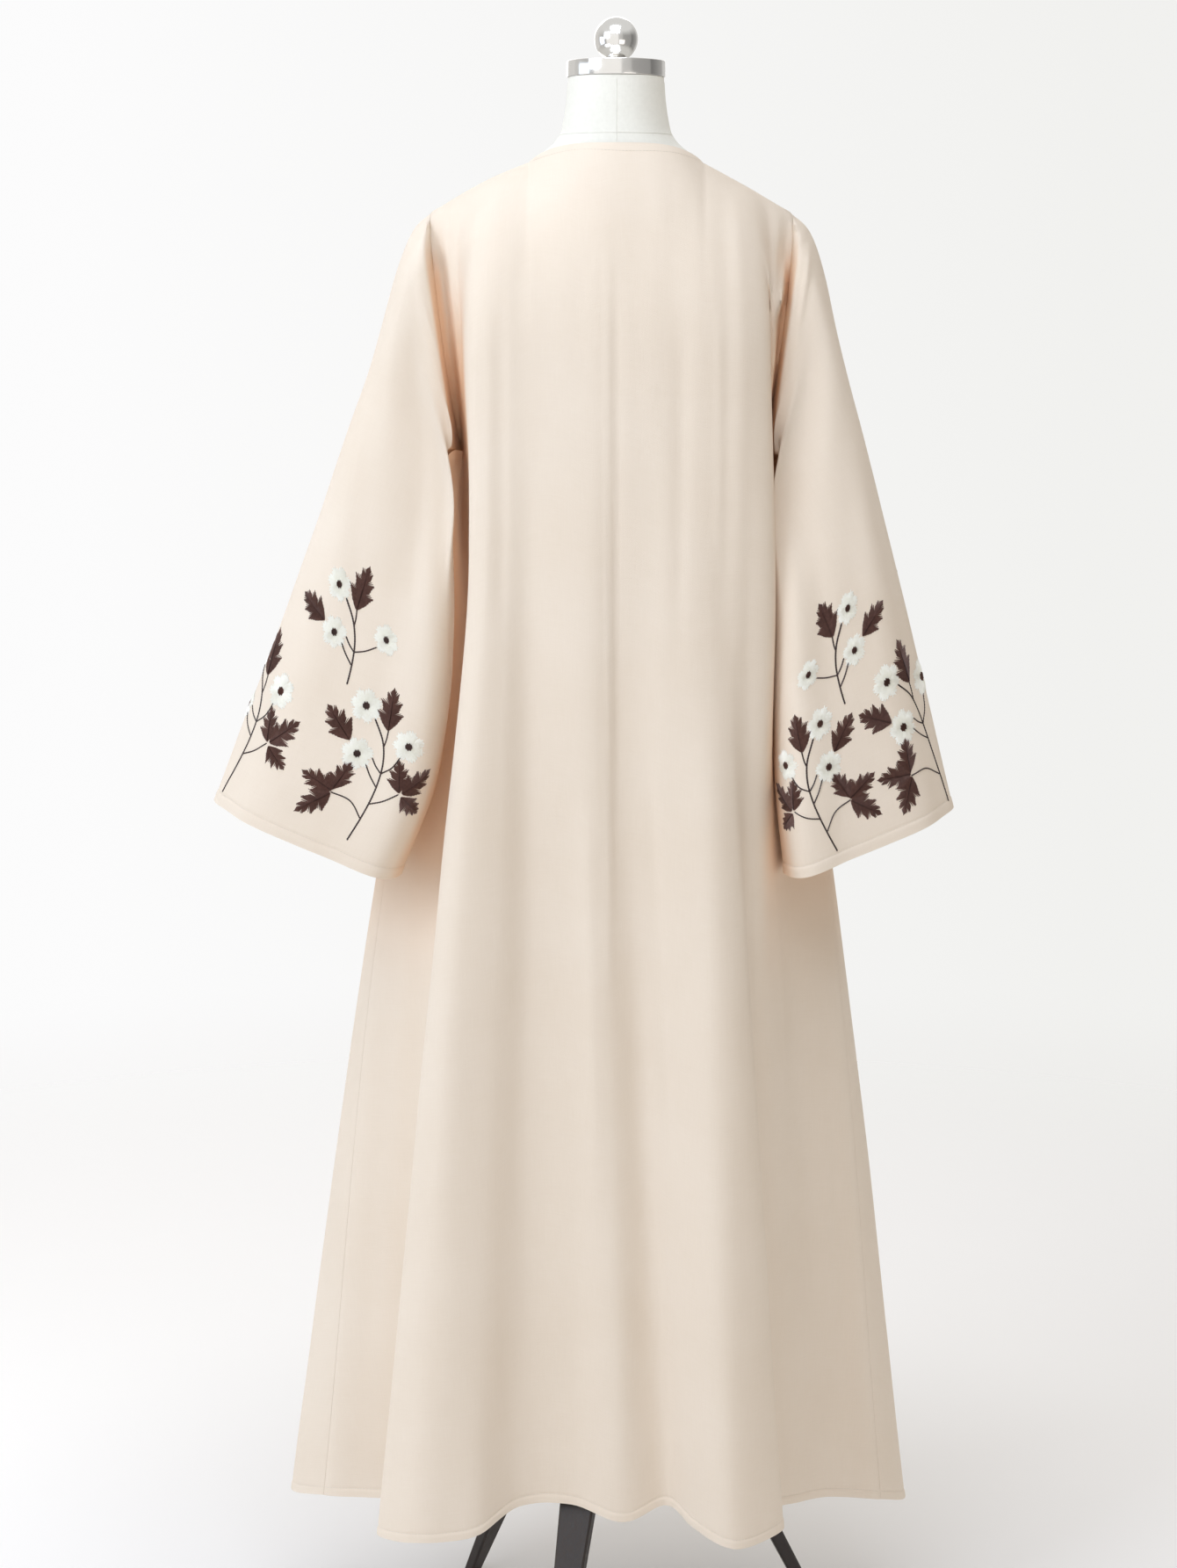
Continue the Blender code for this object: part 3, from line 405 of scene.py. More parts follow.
def paper_material(name, colour, roughness):
    """The studio's floor: matt, faintly mottled, and fading into the pale air far from the cloak. It glows as
    painted light, a little more on the wearer's left, and near the cloak its glow is dimmed as a painted
    shadow.
    """
    shader = Shader(name, colour, roughness)
    across = shader.node("SeparateXYZ", None, Vector=shader.place)["X"]
    away = shader.node("VectorMath", {"operation": "LENGTH"}, n0=shader.place)["Value"]
    # The floor's glow is painted light, brighter on the wearer's left, with a painted shadow near the cloak.
    painted_shadow_fade = shader.eased(away, *FLOOR_PAINTED_SHADOW, FLOOR_PAINTED_SHADOW_SHARE, 1.0)
    painted_glow = shader.between(across, *FLOOR_PAINTED_GLOW_ENDS, *FLOOR_PAINTED_GLOW)
    darker = tuple(value * 0.985 for value in colour)
    shader.dress(
        Base_Color=shader.tint(shader.noise(shader.place, 2.0, 3.0), darker, colour),
        Emission_Color=(1.0, 0.985, 0.955, 1.0),
        Emission_Strength=shader.math("MULTIPLY", painted_glow, painted_shadow_fade),
    )
    faded = shader.eased(away, *FLOOR_FADE)
    paper, clear = shader.surface.outputs["BSDF"], shader.node("BsdfTransparent")["BSDF"]
    fading = shader.node("MixShader", None, n0=faded, n1=paper, n2=clear)["Shader"]
    shader.feed(shader.tree.nodes["Material Output"].inputs["Surface"], fading)
    return shader.material


# ---------------------------------------------------------------- curves
def mix(a, b, share):
    return a + (b - a) * share


def as_array(points):
    """A grid of points as an array of (row, column, axis)."""
    return np.array([[tuple(point) for point in row] for row in points])


def run_along(path):
    """How far along a path each of its points is."""
    steps = np.linalg.norm(np.diff(path, axis=0), axis=1)
    return np.concatenate([[0], np.cumsum(steps)])


def point_along(path, run, distance):
    """The point this far along a path."""
    return [float(np.interp(distance, run, path[:, axis])) for axis in range(path.shape[1])]


def round_turns(count):
    """The angles of that many even steps round a circle."""
    return [2 * math.pi * index / count for index in range(count)]


def passing_curve(before, start, end, after, knots, share):
    """The point at that share of the span from start to end on a centripetal Catmull-Rom curve."""
    k0, k1, k2, k3 = knots
    at = mix(k1, k2, share)
    a1 = mix(before, start, (at - k0) / (k1 - k0))
    a2 = mix(start, end, (at - k1) / (k2 - k1))
    a3 = mix(end, after, (at - k2) / (k3 - k2))
    b1 = mix(a1, a2, (at - k0) / (k2 - k0))
    b2 = mix(a2, a3, (at - k1) / (k3 - k1))
    return mix(b1, b2, (at - k1) / (k2 - k1))


def curve_through(stations, steps, spacing):
    """Rows of values on a smooth curve through the stations, with that many steps in each span."""
    values = [2 * stations[0] - stations[1], *stations, 2 * stations[-1] - stations[-2]]
    gaps = [spacing[0], *spacing, spacing[-1]]
    knots = np.concatenate([[0], np.cumsum(np.sqrt(gaps))])
    rows = []
    for span in range(len(stations) - 1):
        around = values[span : span + 4]
        for step in range(steps):
            rows.append(passing_curve(*around, knots[span : span + 4], step / steps))
    rows.append(np.array(stations[-1], float))
    return rows


def height_curve(z, heights, values):
    """A smooth value at height z through values at falling heights, level at the highest."""
    slopes = [
        (values[i + 1] - values[i]) / (heights[i + 1] - heights[i]) for i in range(len(heights) - 1)
    ]
    tangents = [0.0]
    tangents += [(a + b) / 2 for a, b in zip(slopes, slopes[1:])]
    tangents.append(slopes[-1])
    span = 0
    while span < len(slopes) - 1 and z < heights[span + 1]:
        span += 1
    drop = heights[span + 1] - heights[span]
    t = (z - heights[span]) / drop
    return (
        (2 * t**3 - 3 * t**2 + 1) * values[span]
        + (t**3 - 2 * t**2 + t) * drop * tangents[span]
        + (3 * t**2 - 2 * t**3) * values[span + 1]
        + (t**3 - t**2) * drop * tangents[span + 1]
    )


# ---------------------------------------------------------------- cloak body
def side_of(x):
    return "left" if x > 0 else "right"


def shoulder_share(x):
    """How far x is along the shoulder seam: 0 at the neck point and 1 at the armhole."""
    return (abs(x) - NECK_HALF_WIDTH) / (abs(ARMHOLES[side_of(x)].tip_x) - NECK_HALF_WIDTH)


def top_z(x, face):
    """The height of the cloak's top edge at x: the neckline, and outside it the shoulder seam.
    face is 1 on the back and -1 on the front."""
    share = shoulder_share(x)
    if share >= 0:
        hole = ARMHOLES[side_of(x)]
        return mix(NECK_POINT_Z, hole.tip_z, share) + hole.shoulder_bow * math.sin(math.pi * share)
    outward_share = abs(x) / NECK_HALF_WIDTH
    if face > 0:
        return NECK_POINT_Z + BACK_NECK_RISE * (1 - outward_share**BACK_NECK_POWER)
    return NECK_POINT_Z - FRONT_NECK_DROP * (1 - outward_share**FRONT_NECK_POWER)


def ridge(x, face):
    """(y, z) at which the cloth at x meets, or uncut would meet, the ridge of the shoulders."""
    share = shoulder_share(x)
    if share >= 0:
        return mix(NECK_POINT_Y, SHOULDER_TIP_Y, share), top_z(x, face)
    round_in = 1 - (x / NECK_HALF_WIDTH) ** 2
    rise = BACK_RIDGE_RISE if face > 0 else -FRONT_RIDGE_DROP
    return NECK_POINT_Y, NECK_POINT_Z + rise * round_in


def hang(column, face, z):
    """The point of a column of cloth at height z."""
    if z < CHEST_Z:
        heights = (CHEST_Z, WAIST_Z, HIP_Z, column.hem_z)
        xs = (column.chest_x, column.waist_x, column.hip_x, column.hem_x)
        ys = (column.chest_y, column.waist_y, column.hip_y, column.hem_y)
        return Vector((height_curve(z, heights, xs), height_curve(z, heights, ys), z))
    x_share = ((z - CHEST_Z) / (top_z(column.top_x, face) - CHEST_Z)) ** 2
    ridge_y, ridge_z = ridge(column.top_x, face)
    rise = (z - CHEST_Z) / (ridge_z - CHEST_Z)
    over_shoulder = math.sqrt(max(0.0, 1 - rise**2))
    return Vector(
        (mix(column.chest_x, column.top_x, x_share), mix(ridge_y, column.chest_y, over_shoulder), z)
    )


def armhole_point(seam, face, share):
    """The armhole seam from the shoulder tip, at share 0, to the underarm, at share 1."""
    hole = ARMHOLES[side_of(seam.top_x)]
    underarm = hang(seam, face, UNDERARM_Z)
    tip = Vector((hole.tip_x, SHOULDER_TIP_Y, hole.tip_z))
    fall = (1 - math.cos(math.pi * share)) / 2
    out = math.sin(math.pi * share)
    point = tip.lerp(underarm, fall)
    point.x += math.copysign(hole.swell, hole.tip_x) * out
    point.y += (hole.back_reach if face > 0 else -hole.front_reach) * out
    return point


# The armhole's pull on the body's cloth fades by this much in the first span from the side seam, by this much
# more in far ones, and faster by this share at the underarm. It reaches so many spans.
PULL_FADE = 0.83
PULL_FADE_FAR = 0.028
PULL_FADE_LOW = 1.6
PULL_SPANS = 4.5


def armhole_pull(spans, share):
    """How much of the armhole's pull reaches a column that many spans from the side seam."""
    fade = PULL_FADE * spans + PULL_FADE_FAR * spans**3
    return math.exp(-fade * (1 + PULL_FADE_LOW * share**2))


def body_point(column, face, zone, share, seams):
    """A point of the body's cloth. Near a side seam, the armhole pulls the cloth to its own curve.
    seams is a list of (seam column, how many spans away it is)."""
    if zone == "skirt":
        return hang(column, face, mix(UNDERARM_Z, column.hem_z, share))
    fall = (1 - math.cos(math.pi * share)) / 2
    point = hang(column, face, mix(top_z(column.top_x, face), UNDERARM_Z, fall))
    for seam, spans in seams:
        if spans < PULL_SPANS:
            seam_z = mix(top_z(seam.top_x, face), UNDERARM_Z, fall)
            pulled = armhole_point(seam, face, share) - hang(seam, face, seam_z)
            point += pulled * armhole_pull(spans, share)
    return point


def right_front(column):
    """The right front's column. Its shoulder is as long as the right armhole leaves it."""
    beyond = max(0.0, column.top_x - NECK_HALF_WIDTH)
    left, right = abs(ARMHOLES["left"].tip_x), abs(ARMHOLES["right"].tip_x)
    shorter = (right - NECK_HALF_WIDTH) / (left - NECK_HALF_WIDTH)
    moved = {"top_x": -(column.top_x - beyond + beyond * shorter)}
    moved["hem_z"] = column.hem_z - RIGHT_FRONT_DROP
    for level, scale in RIGHT_FRONT_SCALE.items():
        moved[level + "_x"] = -getattr(column, level + "_x") * scale
    return column._replace(**moved)


def body_columns():
    """Every column of cloth round the body, from the left centre front over the back to the right one."""
    controls = [
        *reversed(FRONT_COLUMNS),
        SEAM_LEFT,
        *BACK_COLUMNS,
        SEAM_RIGHT,
        *map(right_front, FRONT_COLUMNS),
    ]
    values = [np.array(column[1:], float) for column in controls]
    spans = [
        math.dist((a.hem_x, a.hem_y), (b.hem_x, b.hem_y)) for a, b in zip(controls, controls[1:])
    ]
    rows = curve_through(values, STEPS_PER_SPAN, spans)
    steps = np.arange(len(rows)) / STEPS_PER_SPAN
    tops = np.interp(steps, range(len(controls)), [column.top_x for column in controls])
    return [Column("cloth", *row)._replace(top_x=top) for row, top in zip(rows, tops)]


def body_panels():
    """{panel name: grid of points} of the two fronts and the back."""
    columns = body_columns()
    left_seam = len(FRONT_COLUMNS) * STEPS_PER_SPAN
    right_seam = left_seam + (len(BACK_COLUMNS) + 1) * STEPS_PER_SPAN
    pieces = {
        "front_left": (0, left_seam, -1),
        "back": (left_seam, right_seam, 1),
        "front_right": (right_seam, len(columns) - 1, -1),
    }
    levels = [("armhole", share) for share in ARMHOLE_SHARES]
    levels += [("skirt", i / SKIRT_ROWS) for i in range(1, SKIRT_ROWS + 1)]

    def point_at(index, face, zone, share):
        seams = [
            (SEAM_LEFT, abs(index - left_seam) / STEPS_PER_SPAN),
            (SEAM_RIGHT, abs(index - right_seam) / STEPS_PER_SPAN),
        ]
        return body_point(columns[index], face, zone, share, seams)

    panels = {}
    for name, (first, last, face) in pieces.items():
        across = range(first, last + 1)
        panels[name] = [[point_at(index, face, *level) for index in across] for level in levels]
    return panels


# ---------------------------------------------------------------- sleeves
def armhole_ring(seam):
    """The armhole all round: over the back from the shoulder tip to the underarm, and up the front."""
    shares = [i / ARMHOLE_ROWS for i in range(ARMHOLE_ROWS + 1)]
    back = [armhole_point(seam, 1, share) for share in shares]
    front = [armhole_point(seam, -1, share) for share in reversed(shares)]
    return back + front[1:]


def cap_ring(ring, side):
    """The ring just outside the armhole, where the sleeve turns down."""
    count = len(ring) - 1
    moved = []
    for index, point in enumerate(ring):
        turn = 2 * math.pi * index / count
        near_tip = (1 + math.cos(turn)) / 2
        out = mix(CAP_OUT_AT_UNDERARM, CAP_OUT_AT_TIP, near_tip)
        drop = mix(CAP_DROP_AT_UNDERARM, CAP_DROP_AT_TIP, near_tip)
        moved.append(point + Vector((out * side, CAP_BACK * math.sin(turn), -drop)))
    return moved


def fold_depth(turn, growth):
    """How far the sleeve's folds move the cloth out at this turn. growth is 0 at the elbow, 1 at the cuff."""
    depth = 0.0
    for fold in SLEEVE_FOLDS:
        apart = (turn - math.radians(fold.turn_deg) + math.pi) % (2 * math.pi) - math.pi
        width = math.radians(fold.width_deg)
        depth += mix(fold.depth_at_elbow, fold.depth_at_cuff, growth) * math.exp(-((apart / width) ** 2))
    return depth


def oval_ring(ring, side, count, growth):
    """The points of one ring of the sleeve. growth is how far its folds have grown, or None for no folds."""
    outer = Vector((ring.outer_x, ring.outer_y, ring.outer_z))
    inner = Vector((ring.inner_x, ring.inner_y, ring.inner_z))
    centre, reach = (outer + inner) / 2, (outer - inner) / 2
    depth = Vector((-reach.y, reach.x, 0)).normalized() * side
    points = []
    for index in range(count):
        turn = 2 * math.pi * index / (count - 1)
        turn += math.radians(ring.twist_deg) * math.sin(turn / 2) ** 2
        push = 0.0 if growth is None else fold_depth(turn, growth)
        cosine, sine = math.cos(turn), math.sin(turn)
        if sine > 0:
            cosine = math.copysign(abs(cosine) ** (2 / SLEEVE_BACK_SQUARENESS), cosine)
            sine **= 2 / SLEEVE_BACK_SQUARENESS
        across = (reach + reach.normalized() * push) * cosine
        points.append(centre + across + depth * (ring.half_depth + push) * sine)
    return points


def sleeve_grid(seam):
    """Rows of points down one sleeve, from the armhole to the cuff."""
    name = side_of(seam.top_x)
    side = 1 if name == "left" else -1
    top = armhole_ring(seam)
    rings = [top, cap_ring(top, side)]
    sections = SLEEVES[name]
    for index, ring in enumerate(sections):
        growth = (index - 1) / (len(sections) - 2) if index else None
        rings.append(oval_ring(ring, side, len(top), growth))
    spans = [(rings[i][0] - rings[i + 1][0]).length for i in range(len(rings) - 1)]
    columns = []
    for index in range(len(top)):
        stations = [np.array(ring[index]) for ring in rings]
        columns.append(curve_through(stations, SLEEVE_STEPS_PER_RING, spans))
    rows = [[Vector(point) for point in row] for row in zip(*columns)]
    rows[0] = top
    for row in rows:
        row[-1] = row[0].copy()
    return rows if side > 0 else [row[::-1] for row in rows]


# ---------------------------------------------------------------- edges and relief
def is_tube(name):
    """Whether a cloth is sewn into a tube, as the sleeves are."""
    return name.startswith("sleeve")


EDGE_CLEARANCE = 1.3  # the rows before an edge band keep this many times its width from the edge


def with_edge_rows(grid, distances):
    """The grid with rows at these falling distances from its lower edge in place of its last ones."""
    clear = distances[0] * EDGE_CLEARANCE
    runs = []
    for column in zip(*grid):
        points = np.array(column)[::-1]
        runs.append((run_along(points), points))
    keep = min(len(run) - int(np.searchsorted(run, clear)) for run, _ in runs)
    rows = grid[:keep]
    for distance in distances:
        rows.append([Vector(point_along(points, run, distance)) for run, points in runs])
    return rows


def beside(index, last, closed=False):
    """The indexes before and after this one, in a line that ends at last, or that closes there."""
    if closed:
        return (index - 1) % last, (index + 1) % last
    return max(index - 1, 0), min(index + 1, last)


def outward(points, closed):
    """The direction out of the cloth at every point of a grid."""
    last = len(points[0]) - 1
    result = []
    for r, row in enumerate(points):
        above, below = (points[index] for index in beside(r, len(points) - 1))
        directions = []
        for c in range(len(row)):
            before, after = beside(c, last, closed)
            directions.append((row[after] - row[before]).cross(above[c] - below[c]).normalized())
        result.append(directions)
    return result


def edge_distances(points):
    """The distance of every point of a grid from its lower edge, down its own column."""
    steps = np.linalg.norm(np.diff(as_array(points), axis=0), axis=2)[::-1]
    runs = np.concatenate([np.zeros((1, len(points[0]))), np.cumsum(steps, axis=0)])
    return runs[::-1]


def bell(value, width):
    return math.exp(-((value / width) ** 2))


def eased(value, low, high):
    """0 up to low, 1 from high, and an even curve between them."""
    share = min(1.0, max(0.0, (value - low) / (high - low)))
    return share * share * (3 - 2 * share)


def window(value, start, whole, fall, end):
    """0 up to start, 1 from whole to fall, and 0 again from end."""
    return eased(value, start, whole) * (1 - eased(value, fall, end))


BAND_PUFF = 0.0007
BAND_SLOPE = 0.0016
BAND_GROOVE = 0.0008
BAND_GROOVE_WIDTH = 0.0011
SEAM_PUFF = 0.0009  # the cloth stands up a little on both sides of a seam
SEAM_PUFF_NEAR = 0.0016
SEAM_PUFF_FAR = 0.0085


def seam_relief(apart):
    """How far the cloth stands out this far from a side seam."""
    return SEAM_PUFF * (1 - math.exp(-apart / SEAM_PUFF_NEAR)) * bell(apart, SEAM_PUFF_FAR)


def band_relief(distance, band):
    """How far a turned-up edge stands out: puffed inside its band, drawn in along the stitches."""
    puff = BAND_PUFF / 2 * (1 - math.tanh((distance - band) / BAND_SLOPE))
    return puff - BAND_GROOVE * bell(distance - band, BAND_GROOVE_WIDTH)


# Uneven cloth: how many waves to the metre, across and down, where they start, and how far they stand out.
Wave = namedtuple("Wave", "across down start depth")
BODY_WAVES = [
    Wave(16, 2.6, (0, 0, 0), 0.0026),
    Wave(45, 5, (7, 0, 0), 0.0007),
]
SLEEVE_WAVES = [
    Wave(18, 4, (0, 0, 3), 0.0018),
    Wave(50, 9, (0, 5, 0), 0.0005),
]


def wave_relief(waves, point):
    moved = 0.0
    for wave in waves:
        scales = (wave.across, wave.across, wave.down)
        place = [value * scale + start for value, scale, start in zip(point, scales, wave.start)]
        moved += noise.noise(Vector(place)) * wave.depth
    return moved


# Soft creases in the back and in the back of the sleeves, in metres from the form's axis and above the floor:
# where each starts and ends, its half width, and how far it stands out or, below 0, lies in.
Crease = namedtuple("Crease", "name top_x top_z low_x low_z width depth")
BACK_CREASES = [
    Crease("pressed_middle", 0.0075, 1.560, 0.0060, 0.700, 0.0030, 0.0015),
    Crease("beside_middle", 0.0010, 1.500, -0.0010, 0.860, 0.0060, -0.0013),
    Crease("left_blade_line", 0.135, 1.430, 0.140, 1.150, 0.0050, 0.0009),
    Crease("left_blade_inner", 0.112, 1.450, 0.113, 1.100, 0.0080, -0.0014),
    Crease("right_blade_line", -0.063, 1.430, -0.060, 1.080, 0.0070, -0.0012),
    Crease("right_blade_outer", -0.098, 1.440, -0.100, 1.160, 0.0050, 0.0008),
    Crease("skirt_line_b", 0.030, 0.980, 0.018, 0.520, 0.0070, 0.0016),
    Crease("skirt_line_c", -0.030, 1.020, -0.064, 0.420, 0.0080, -0.0016),
    Crease("low_fold_c", -0.158, 0.860, -0.176, 0.660, 0.0040, 0.0016),
]
SLEEVE_CREASES = {
    "sleeve_left": [
        Crease("cap_seam", 0.204, 1.498, 0.187, 1.484, 0.0035, -0.0012),
        Crease("edge_fold", 0.186, 1.424, 0.167, 1.362, 0.0026, 0.0013),
        Crease("edge_valley", 0.196, 1.440, 0.200, 1.080, 0.0085, -0.0022),
        Crease("arm_ridge", 0.216, 1.430, 0.238, 1.120, 0.0100, 0.0018),
        Crease("arm_valley", 0.234, 1.400, 0.272, 1.020, 0.0110, -0.0016),
    ],
    "sleeve_right": [
        Crease("cap_seam", -0.190, 1.492, -0.176, 1.478, 0.0035, -0.0012),
        Crease("edge_fold", -0.187, 1.486, -0.176, 1.396, 0.0030, 0.0013),
        Crease("edge_valley", -0.188, 1.430, -0.182, 1.080, 0.0085, -0.0016),
        Crease("arm_ridge", -0.204, 1.420, -0.216, 1.080, 0.0100, 0.0014),
        Crease("arm_valley", -0.222, 1.380, -0.250, 1.040, 0.0110, -0.0014),
    ],
}
CREASES_FROM_Y = (0.0, 0.04)  # a sleeve's creases come in between these
CREASE_FADE = 0.22  # each crease fades over this share of its length at both ends


def crease_relief(creases, x, z):
    """How far the creases move the cloth out at (x, z)."""
    moved = 0.0
    for crease in creases:
        share = (crease.top_z - z) / (crease.top_z - crease.low_z)
        if 0 < share < 1:
            fade = eased(min(share, 1 - share), 0.0, CREASE_FADE)
            apart = x - mix(crease.top_x, crease.low_x, share)
            moved += crease.depth * bell(apart, crease.width) * fade
    return moved


def relief_at(name, point, distance):
    """How far out of its smooth form the cloth lies."""
    if is_tube(name):
        waves = wave_relief(SLEEVE_WAVES, point)
        if point.y > 0:
            creases = crease_relief(SLEEVE_CREASES[name], point.x, point.z)
            waves += creases * eased(point.y, *CREASES_FROM_Y)
        return waves + band_relief(distance, CUFF_BAND)
    waves = wave_relief(BODY_WAVES, point)
    if name == "back":
        waves += crease_relief(BACK_CREASES, point.x, point.z)
    return waves + band_relief(distance, HEM_BAND)


# Soft bulges: where the cloth is pushed, by how much, and how far round that point (across and up) it fades.
Bulge = namedtuple("Bulge", "cloth x y z push_x push_y across up")
BULGES = [
    Bulge("front_left", 0.166, -0.062, 1.246, 0.014, -0.002, 0.026, 0.042),
    Bulge("front_right", -0.156, -0.062, 1.246, -0.014, -0.002, 0.026, 0.042),
    Bulge("back", -0.150, 0.088, 1.180, -0.0095, 0.0, 0.026, 0.200),
    Bulge("sleeve_left", 0.172, 0.050, 1.255, -0.0175, 0.0, 0.045, 0.085),
    Bulge("sleeve_right", -0.164, 0.050, 1.255, 0.0150, 0.0, 0.045, 0.085),
    Bulge("sleeve_left", 0.192, 0.014, 1.110, -0.010, -0.001, 0.020, 0.090),
    Bulge("sleeve_right", -0.180, 0.014, 1.110, 0.010, -0.001, 0.020, 0.090),
]
# On the back, a sleeve's cloth stands up from its armhole seam to this y, and hides the seam.
LEDGE_Y = {"sleeve_left": 0.070, "sleeve_right": 0.064}
LEDGE_TURNS_DEG = (12, 56, 164, 179)  # where round the armhole the ledge starts, is whole, and ends
LEDGE_LEAN = 0.10  # outward for each metre it stands up
LEDGE_SHARPNESS = 0.55  # rows over which it stands up
LEDGE_ROWS = (15, 29)  # the row by which it has sunk back, on the back and under the arm
LEDGE_ROWS_DEG = (85, 145)  # the turns between which that row changes
LEDGE_SINK = 3.8  # rows over which it sinks
# Under the left arm the sleeve's inner fold carries on down from the ledge. It turns forward over the last
# turns, stands up a little on its way back, and is gone by the last row.
FOLD_Y = 0.071
FOLD_TURNS_DEG = (118, 150, 174, 198)
FOLD_RISE = 0.09
FOLD_RISE_DEG = (150, 166)
FOLD_RISE_ROWS = (2, 20)
FOLD_ROWS = (44, 58)
# The back's cloth stands up to this y beside the right seam, as far out as an edge that leaves the seam high
# up and then hangs straight.
BODY_LEDGE_Y = 0.080
BODY_LEDGE_TURNS_DEG = (52, 80, 136, 174)
BODY_LEDGE_SOFTNESS = 0.012
BODY_LEDGE_COLUMNS = 3  # columns from the seam over which it stands up
BODY_EDGE_X = 0.1560
BODY_EDGE_TOP_X = 0.1770
BODY_EDGE_TOP_Z = 1.466
BODY_EDGE_LOW_Z = 1.405
BODY_EDGE_IN = 0.0035
BODY_EDGE_OUT = 0.0040


def turn_round(name, c, last):
    """How many degrees round its armhole a sleeve's column is, from the shoulder tip over the back."""
    return 360 * (c / last if name == "sleeve_left" else 1 - c / last)


def sleeve_shove(name, r, c, last, seam_point, point):
    """How far a sleeve's cloth moves beside its armhole seam, and along its inner fold."""
    side = 1 if name == "sleeve_left" else -1
    turn = turn_round(name, c, last)
    if not 0 < turn < FOLD_TURNS_DEG[-1]:
        return Vector()
    standing = 1 - math.exp(-r / LEDGE_SHARPNESS)
    rise = (LEDGE_Y[name] - seam_point.y) * window(turn, *LEDGE_TURNS_DEG)
    sunk_row = mix(*LEDGE_ROWS, eased(turn, *LEDGE_ROWS_DEG))
    rise *= standing / (1 + math.exp((r - sunk_row) / LEDGE_SINK))
    lift = 0.0
    if side > 0:
        fold = max(0.0, FOLD_Y - point.y) * window(turn, *FOLD_TURNS_DEG)
        fold *= standing * (1 - eased(r, *FOLD_ROWS))
        rise = max(rise, fold)
        lift = fold * FOLD_RISE * eased(turn, *FOLD_RISE_DEG) * (1 - eased(r, *FOLD_RISE_ROWS))
    return Vector((side * LEDGE_LEAN * rise, rise, lift))


def body_shove(name, r, c, last, point):
    """How far the back's cloth moves beside its right armhole seam."""
    if name != "back" or r >= len(ARMHOLE_SHARES) or point.x > 0:
        return Vector()
    high = eased(point.z, BODY_EDGE_LOW_Z, BODY_EDGE_TOP_Z)
    edge = mix(BODY_EDGE_X, BODY_EDGE_TOP_X, high)
    inside = 1 - eased(abs(point.x), edge - BODY_EDGE_IN, edge + BODY_EDGE_OUT)
    inside *= eased(last - c, 0, BODY_LEDGE_COLUMNS)
    lack = max(0.0, BODY_LEDGE_Y - point.y)
    rise = lack * eased(lack, 0.0, BODY_LEDGE_SOFTNESS) * inside
    return Vector((0, rise * window(180 * ARMHOLE_SHARES[r], *BODY_LEDGE_TURNS_DEG), 0))


def bulge_shove(name, point):
    shove = Vector()
    for bulge in BULGES:
        if bulge.cloth == name:
            apart = math.dist((point.x, point.y), (bulge.x, bulge.y))
            share = bell(apart, bulge.across) * bell(point.z - bulge.z, bulge.up)
            shove += Vector((bulge.push_x, bulge.push_y, 0)) * share
    return shove


HOLD_ROWS = 6  # the relief grows over these rows from the top edge, and these columns from a side seam
HOLD_COLUMNS = 4


def relieved(name, points, closed):
    """The grid with its relief. The relief fades to nothing at the seams, so that they stay joined."""
    out = outward(points, closed)
    distances = edge_distances(points)
    last = len(points[0]) - 1
    seam_columns = {"front_left": (last,), "front_right": (0,), "back": (0, last)}.get(name, ())
    grid = []
    for r, row in enumerate(points):
        moved = []
        for c, point in enumerate(row):
            hold = min(1.0, r / HOLD_ROWS)
            if closed:
                shove = sleeve_shove(name, r, c, last, points[0][c], point)
            else:
                hold *= min(1.0, min(c, last - c) / HOLD_COLUMNS)
                shove = body_shove(name, r, c, last, point)
            depth = relief_at(name, point, distances[r][c]) * hold
            for seam_column in seam_columns:
                depth += seam_relief((point - row[seam_column]).length)
            shove += bulge_shove(name, point) * hold
            moved.append(point + out[r][c] * depth + shove)
        grid.append(moved)
    return grid


# ---------------------------------------------------------------- cloth walls
SAME_PLACE_DIGITS = 6  # panels meet where their points are the same to a thousandth of a millimetre
SAME_PLACE = 1e-6


def place_of(point):
    return tuple(round(value, SAME_PLACE_DIGITS) for value in point)


def on_shoulder(row, point):
    return row == 0 and abs(point.x) >= NECK_HALF_WIDTH - SAME_PLACE


def away_from_edges(points, out, row, column, closed):
    """The direction, in the cloth, away from the top edge and the side edges that a point is on."""
    point, normal = points[row][column], out[row][column]
    last_row, last_column = len(points) - 1, len(points[0]) - 1
    away = Vector()
    if row == 0:
        before, after = beside(column, last_column, closed)
        across = normal.cross(points[0][after] - points[0][before]).normalized()
        away += across * math.copysign(1, across.dot(points[1][column] - point))
    if not closed and column in (0, last_column):
        above, below = beside(row, last_row)
        across = normal.cross(points[below][column] - points[above][column]).normalized()
        neighbour = points[row][1 if column == 0 else last_column - 1]
        away += across * math.copysign(1, across.dot(neighbour - point))
    return away


